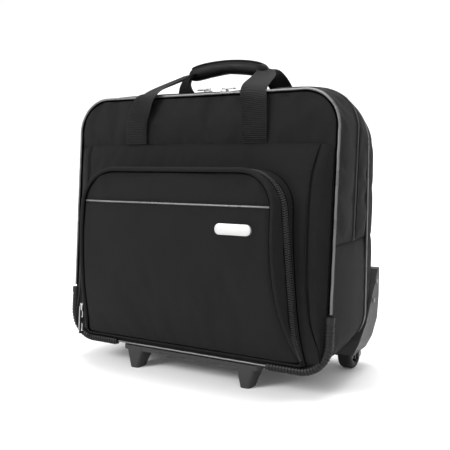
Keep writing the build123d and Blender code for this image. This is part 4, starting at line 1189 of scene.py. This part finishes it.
def make_straps(front_surface):
    tree = BVHTree.FromPolygons([tuple(p) for p in front_surface.reshape(-1, 3)],
                                grid_faces(*front_surface.shape[:2]))
    for side, name in ((-1, "left"), (1, "right")):
        def face(x, up, lift):
            hit = tree.ray_cast(on_front(side * x, up, 0.2), -OUT)[0]
            base = max(0.0, (hit - ORIGIN).dot(OUT)) if hit else 0.0
            return tuple(on_front(side * x, up, base + lift))

        flat, slanted = (1, 0, 0), (0.917, 0.4 * side, 0)
        w = STRAP_WIDTH / 2
        root = STRAP_X - STRAP_SHIFT * side
        lean_low, lean_high = STRAP_LEAN[side]
        top = on_front(side * (root - lean_high), 381 * MM, 9.5 * MM)
        keys = [(face(root, up * MM, lift * MM), flat, w, 0)
                for up, lift in ((307, 1.4), (330, 1.4), (349, 1.8))]
        keys += [
            (face(root - lean_low, 366 * MM, 6 * MM), (1, 0.1 * side, 0), w, 0.5 * MM),
            (tuple(top), (0.95, 0.25 * side, 0), w * 0.97, 1.5 * MM),
        ]
        # middle and how much wider apart the right one is, back, height, width share, curl
        for x, more, y, z, share, bend in ((86, 6, -38, 425, 0.94, 2.5), (77, 7, 5, 441, 0.86, 3.5),
                                           (69, 5, 28, 450, 0.66, 4)):
            place = (side * (x + more * side) * MM, y * MM, z * MM)
            keys.append((place, slanted, w * share, bend * MM))
        keys.append(((side * 58 * MM, WRAP_Y - 2 * MM, WRAP_Z - 2 * MM), slanted, w * 0.45, 2 * MM))
        line, wide, half, curl = strap_rows(keys, 90)
        obj = ribbon(f"front_strap_{name}", line, wide, half, "webbing", 1.9 * MM, curl)
        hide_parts(*(["front_straps", "strap_ends"] if side < 0 else []))
        face(root, 352 * MM, 0)
        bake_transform(obj)
        box_stitch(name, root, face)

        # out, back, height over the crown, width direction, width share, curl
        rear = ((88, 63, -1, (1, 0), 0.9, 0), (87, 59, 3, (1, 0), 0.9, 0), (83, 54, 12, (1, 0.2), 0.85, 1),
                (77, 49, 21, (0.9, 0.5), 0.75, 2), (69, 45, 27, (0.7, 0.8), 0.6, 2))
        keys = [((side * x * MM, y * MM, CROWN_Z + up * MM), (turn[0], turn[1] * side, 0), w * share,
                 bend * MM) for x, y, up, turn, share, bend in rear]
        keys.append(((side * 58 * MM, WRAP_Y, WRAP_Z - 2 * MM), (0.3, 1 * side, 0), w * 0.4, 1 * MM))
        line, wide, half, curl = strap_rows(keys, 60)
        obj = ribbon(f"rear_strap_{name}", line, wide, half, "webbing", 1.9 * MM, curl)
        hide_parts(*(["rear_straps"] if side < 0 else []))
        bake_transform(obj)


def box_stitch(name, root, face):
    """Rectangle of stitches with crossing lines, over the sewn end of a strap."""
    w = STRAP_WIDTH / 2 - 3 * MM
    low, high = 311 * MM, 347 * MM
    corners = [(-w, low), (w, low), (w, high), (-w, high), (-w, low), (w, high), (w, low), (-w, high)]
    path = [face(root + x, up, 2.5 * MM) for x, up in corners]
    line = np.concatenate([resample([path[i], path[i + 1]], 20) for i in range(len(path) - 1)])
    stitches = beads(f"strap_stitches_{name}", line, OUT_WAY, (2.6 * MM, 0.7 * MM, 0.7 * MM),
                     1.1 * MM, "webbing", 0)
    fix(stitches, "case")


# ---- stage and camera ---------------------------------------------------------------------------
def make_stage():
    size, bend, far = 6.0, 0.9, 1.6
    profile = [(-size, 0.0), (far, 0.0)]
    profile += [(far + math.sin(a) * bend, bend - math.cos(a) * bend)
                for a in np.linspace(0.1, math.pi / 2, 12)]
    profile.append((far + bend, size))
    verts = [(x, y, z) for y, z in profile for x in (-size, size)]
    faces = [(2 * i, 2 * i + 1, 2 * i + 3, 2 * i + 2) for i in range(len(profile) - 1)]
    mesh = bpy.data.meshes.new("floor")
    mesh.from_pydata(verts, [], faces)
    s = Shader("floor")
    s.put("Base Color", s.colours(s.noise(s.coords("Object"), 3), (0.93, 0.93, 0.93), (0.95, 0.95, 0.95)))
    s.put("Roughness", 0.9)
    mesh.materials.append(s.mat)
    floor = bpy.data.objects.new("floor", mesh)
    bpy.context.scene.collection.objects.link(floor)
    smooth(floor, 40)


def make_lights():
    world = bpy.data.worlds.new("studio")
    bpy.context.scene.world = world
    world.use_nodes = True
    back = world.node_tree.nodes["Background"]
    back.inputs["Color"].default_value = (1, 1, 1, 1)
    back.inputs["Strength"].default_value = 0.75
    lamps = [
        # place, aim, size, power
        ((-1.3, -2.4, 1.7), (0, 0, 0.25), 1.2, 75),
        ((1.9, -1.4, 1.4), (0, 0, 0.2), 1.0, 4),
        ((0.1, 0.2, 2.6), (0, 0, 0.3), 1.6, 60),
    ]
    for i, (place, aim, size, power) in enumerate(lamps):
        light = bpy.data.lights.new(f"lamp_{i}", "AREA")
        light.size = size
        light.energy = power
        lamp = bpy.data.objects.new(f"lamp_{i}", light)
        lamp.location = place
        lamp.rotation_euler = (Vector(aim) - Vector(place)).to_track_quat("-Z", "Y").to_euler()
        bpy.context.scene.collection.objects.link(lamp)
    bpy.context.scene.view_settings.view_transform = "Standard"


def make_camera():
    place, down, turn = (0.5395, -0.9003, 0.3204), 5.503, 30.066
    data = bpy.data.cameras.new("camera")
    data.sensor_width = 36
    data.lens = 54.4
    cam = bpy.data.objects.new("camera", data)
    cam.location = place
    cam.rotation_euler = (math.radians(90 - down), 0, math.radians(turn))
    bpy.context.scene.collection.objects.link(cam)
    bpy.context.scene.camera = cam


make_upper_walls()
make_lower_walls()
front_surface = make_end_panels()
make_piping()
make_slip_pocket()
make_organiser()
make_lid()
make_pocket_inside()
make_wrap()
make_straps(front_surface)
make_stage()
make_lights()
make_camera()
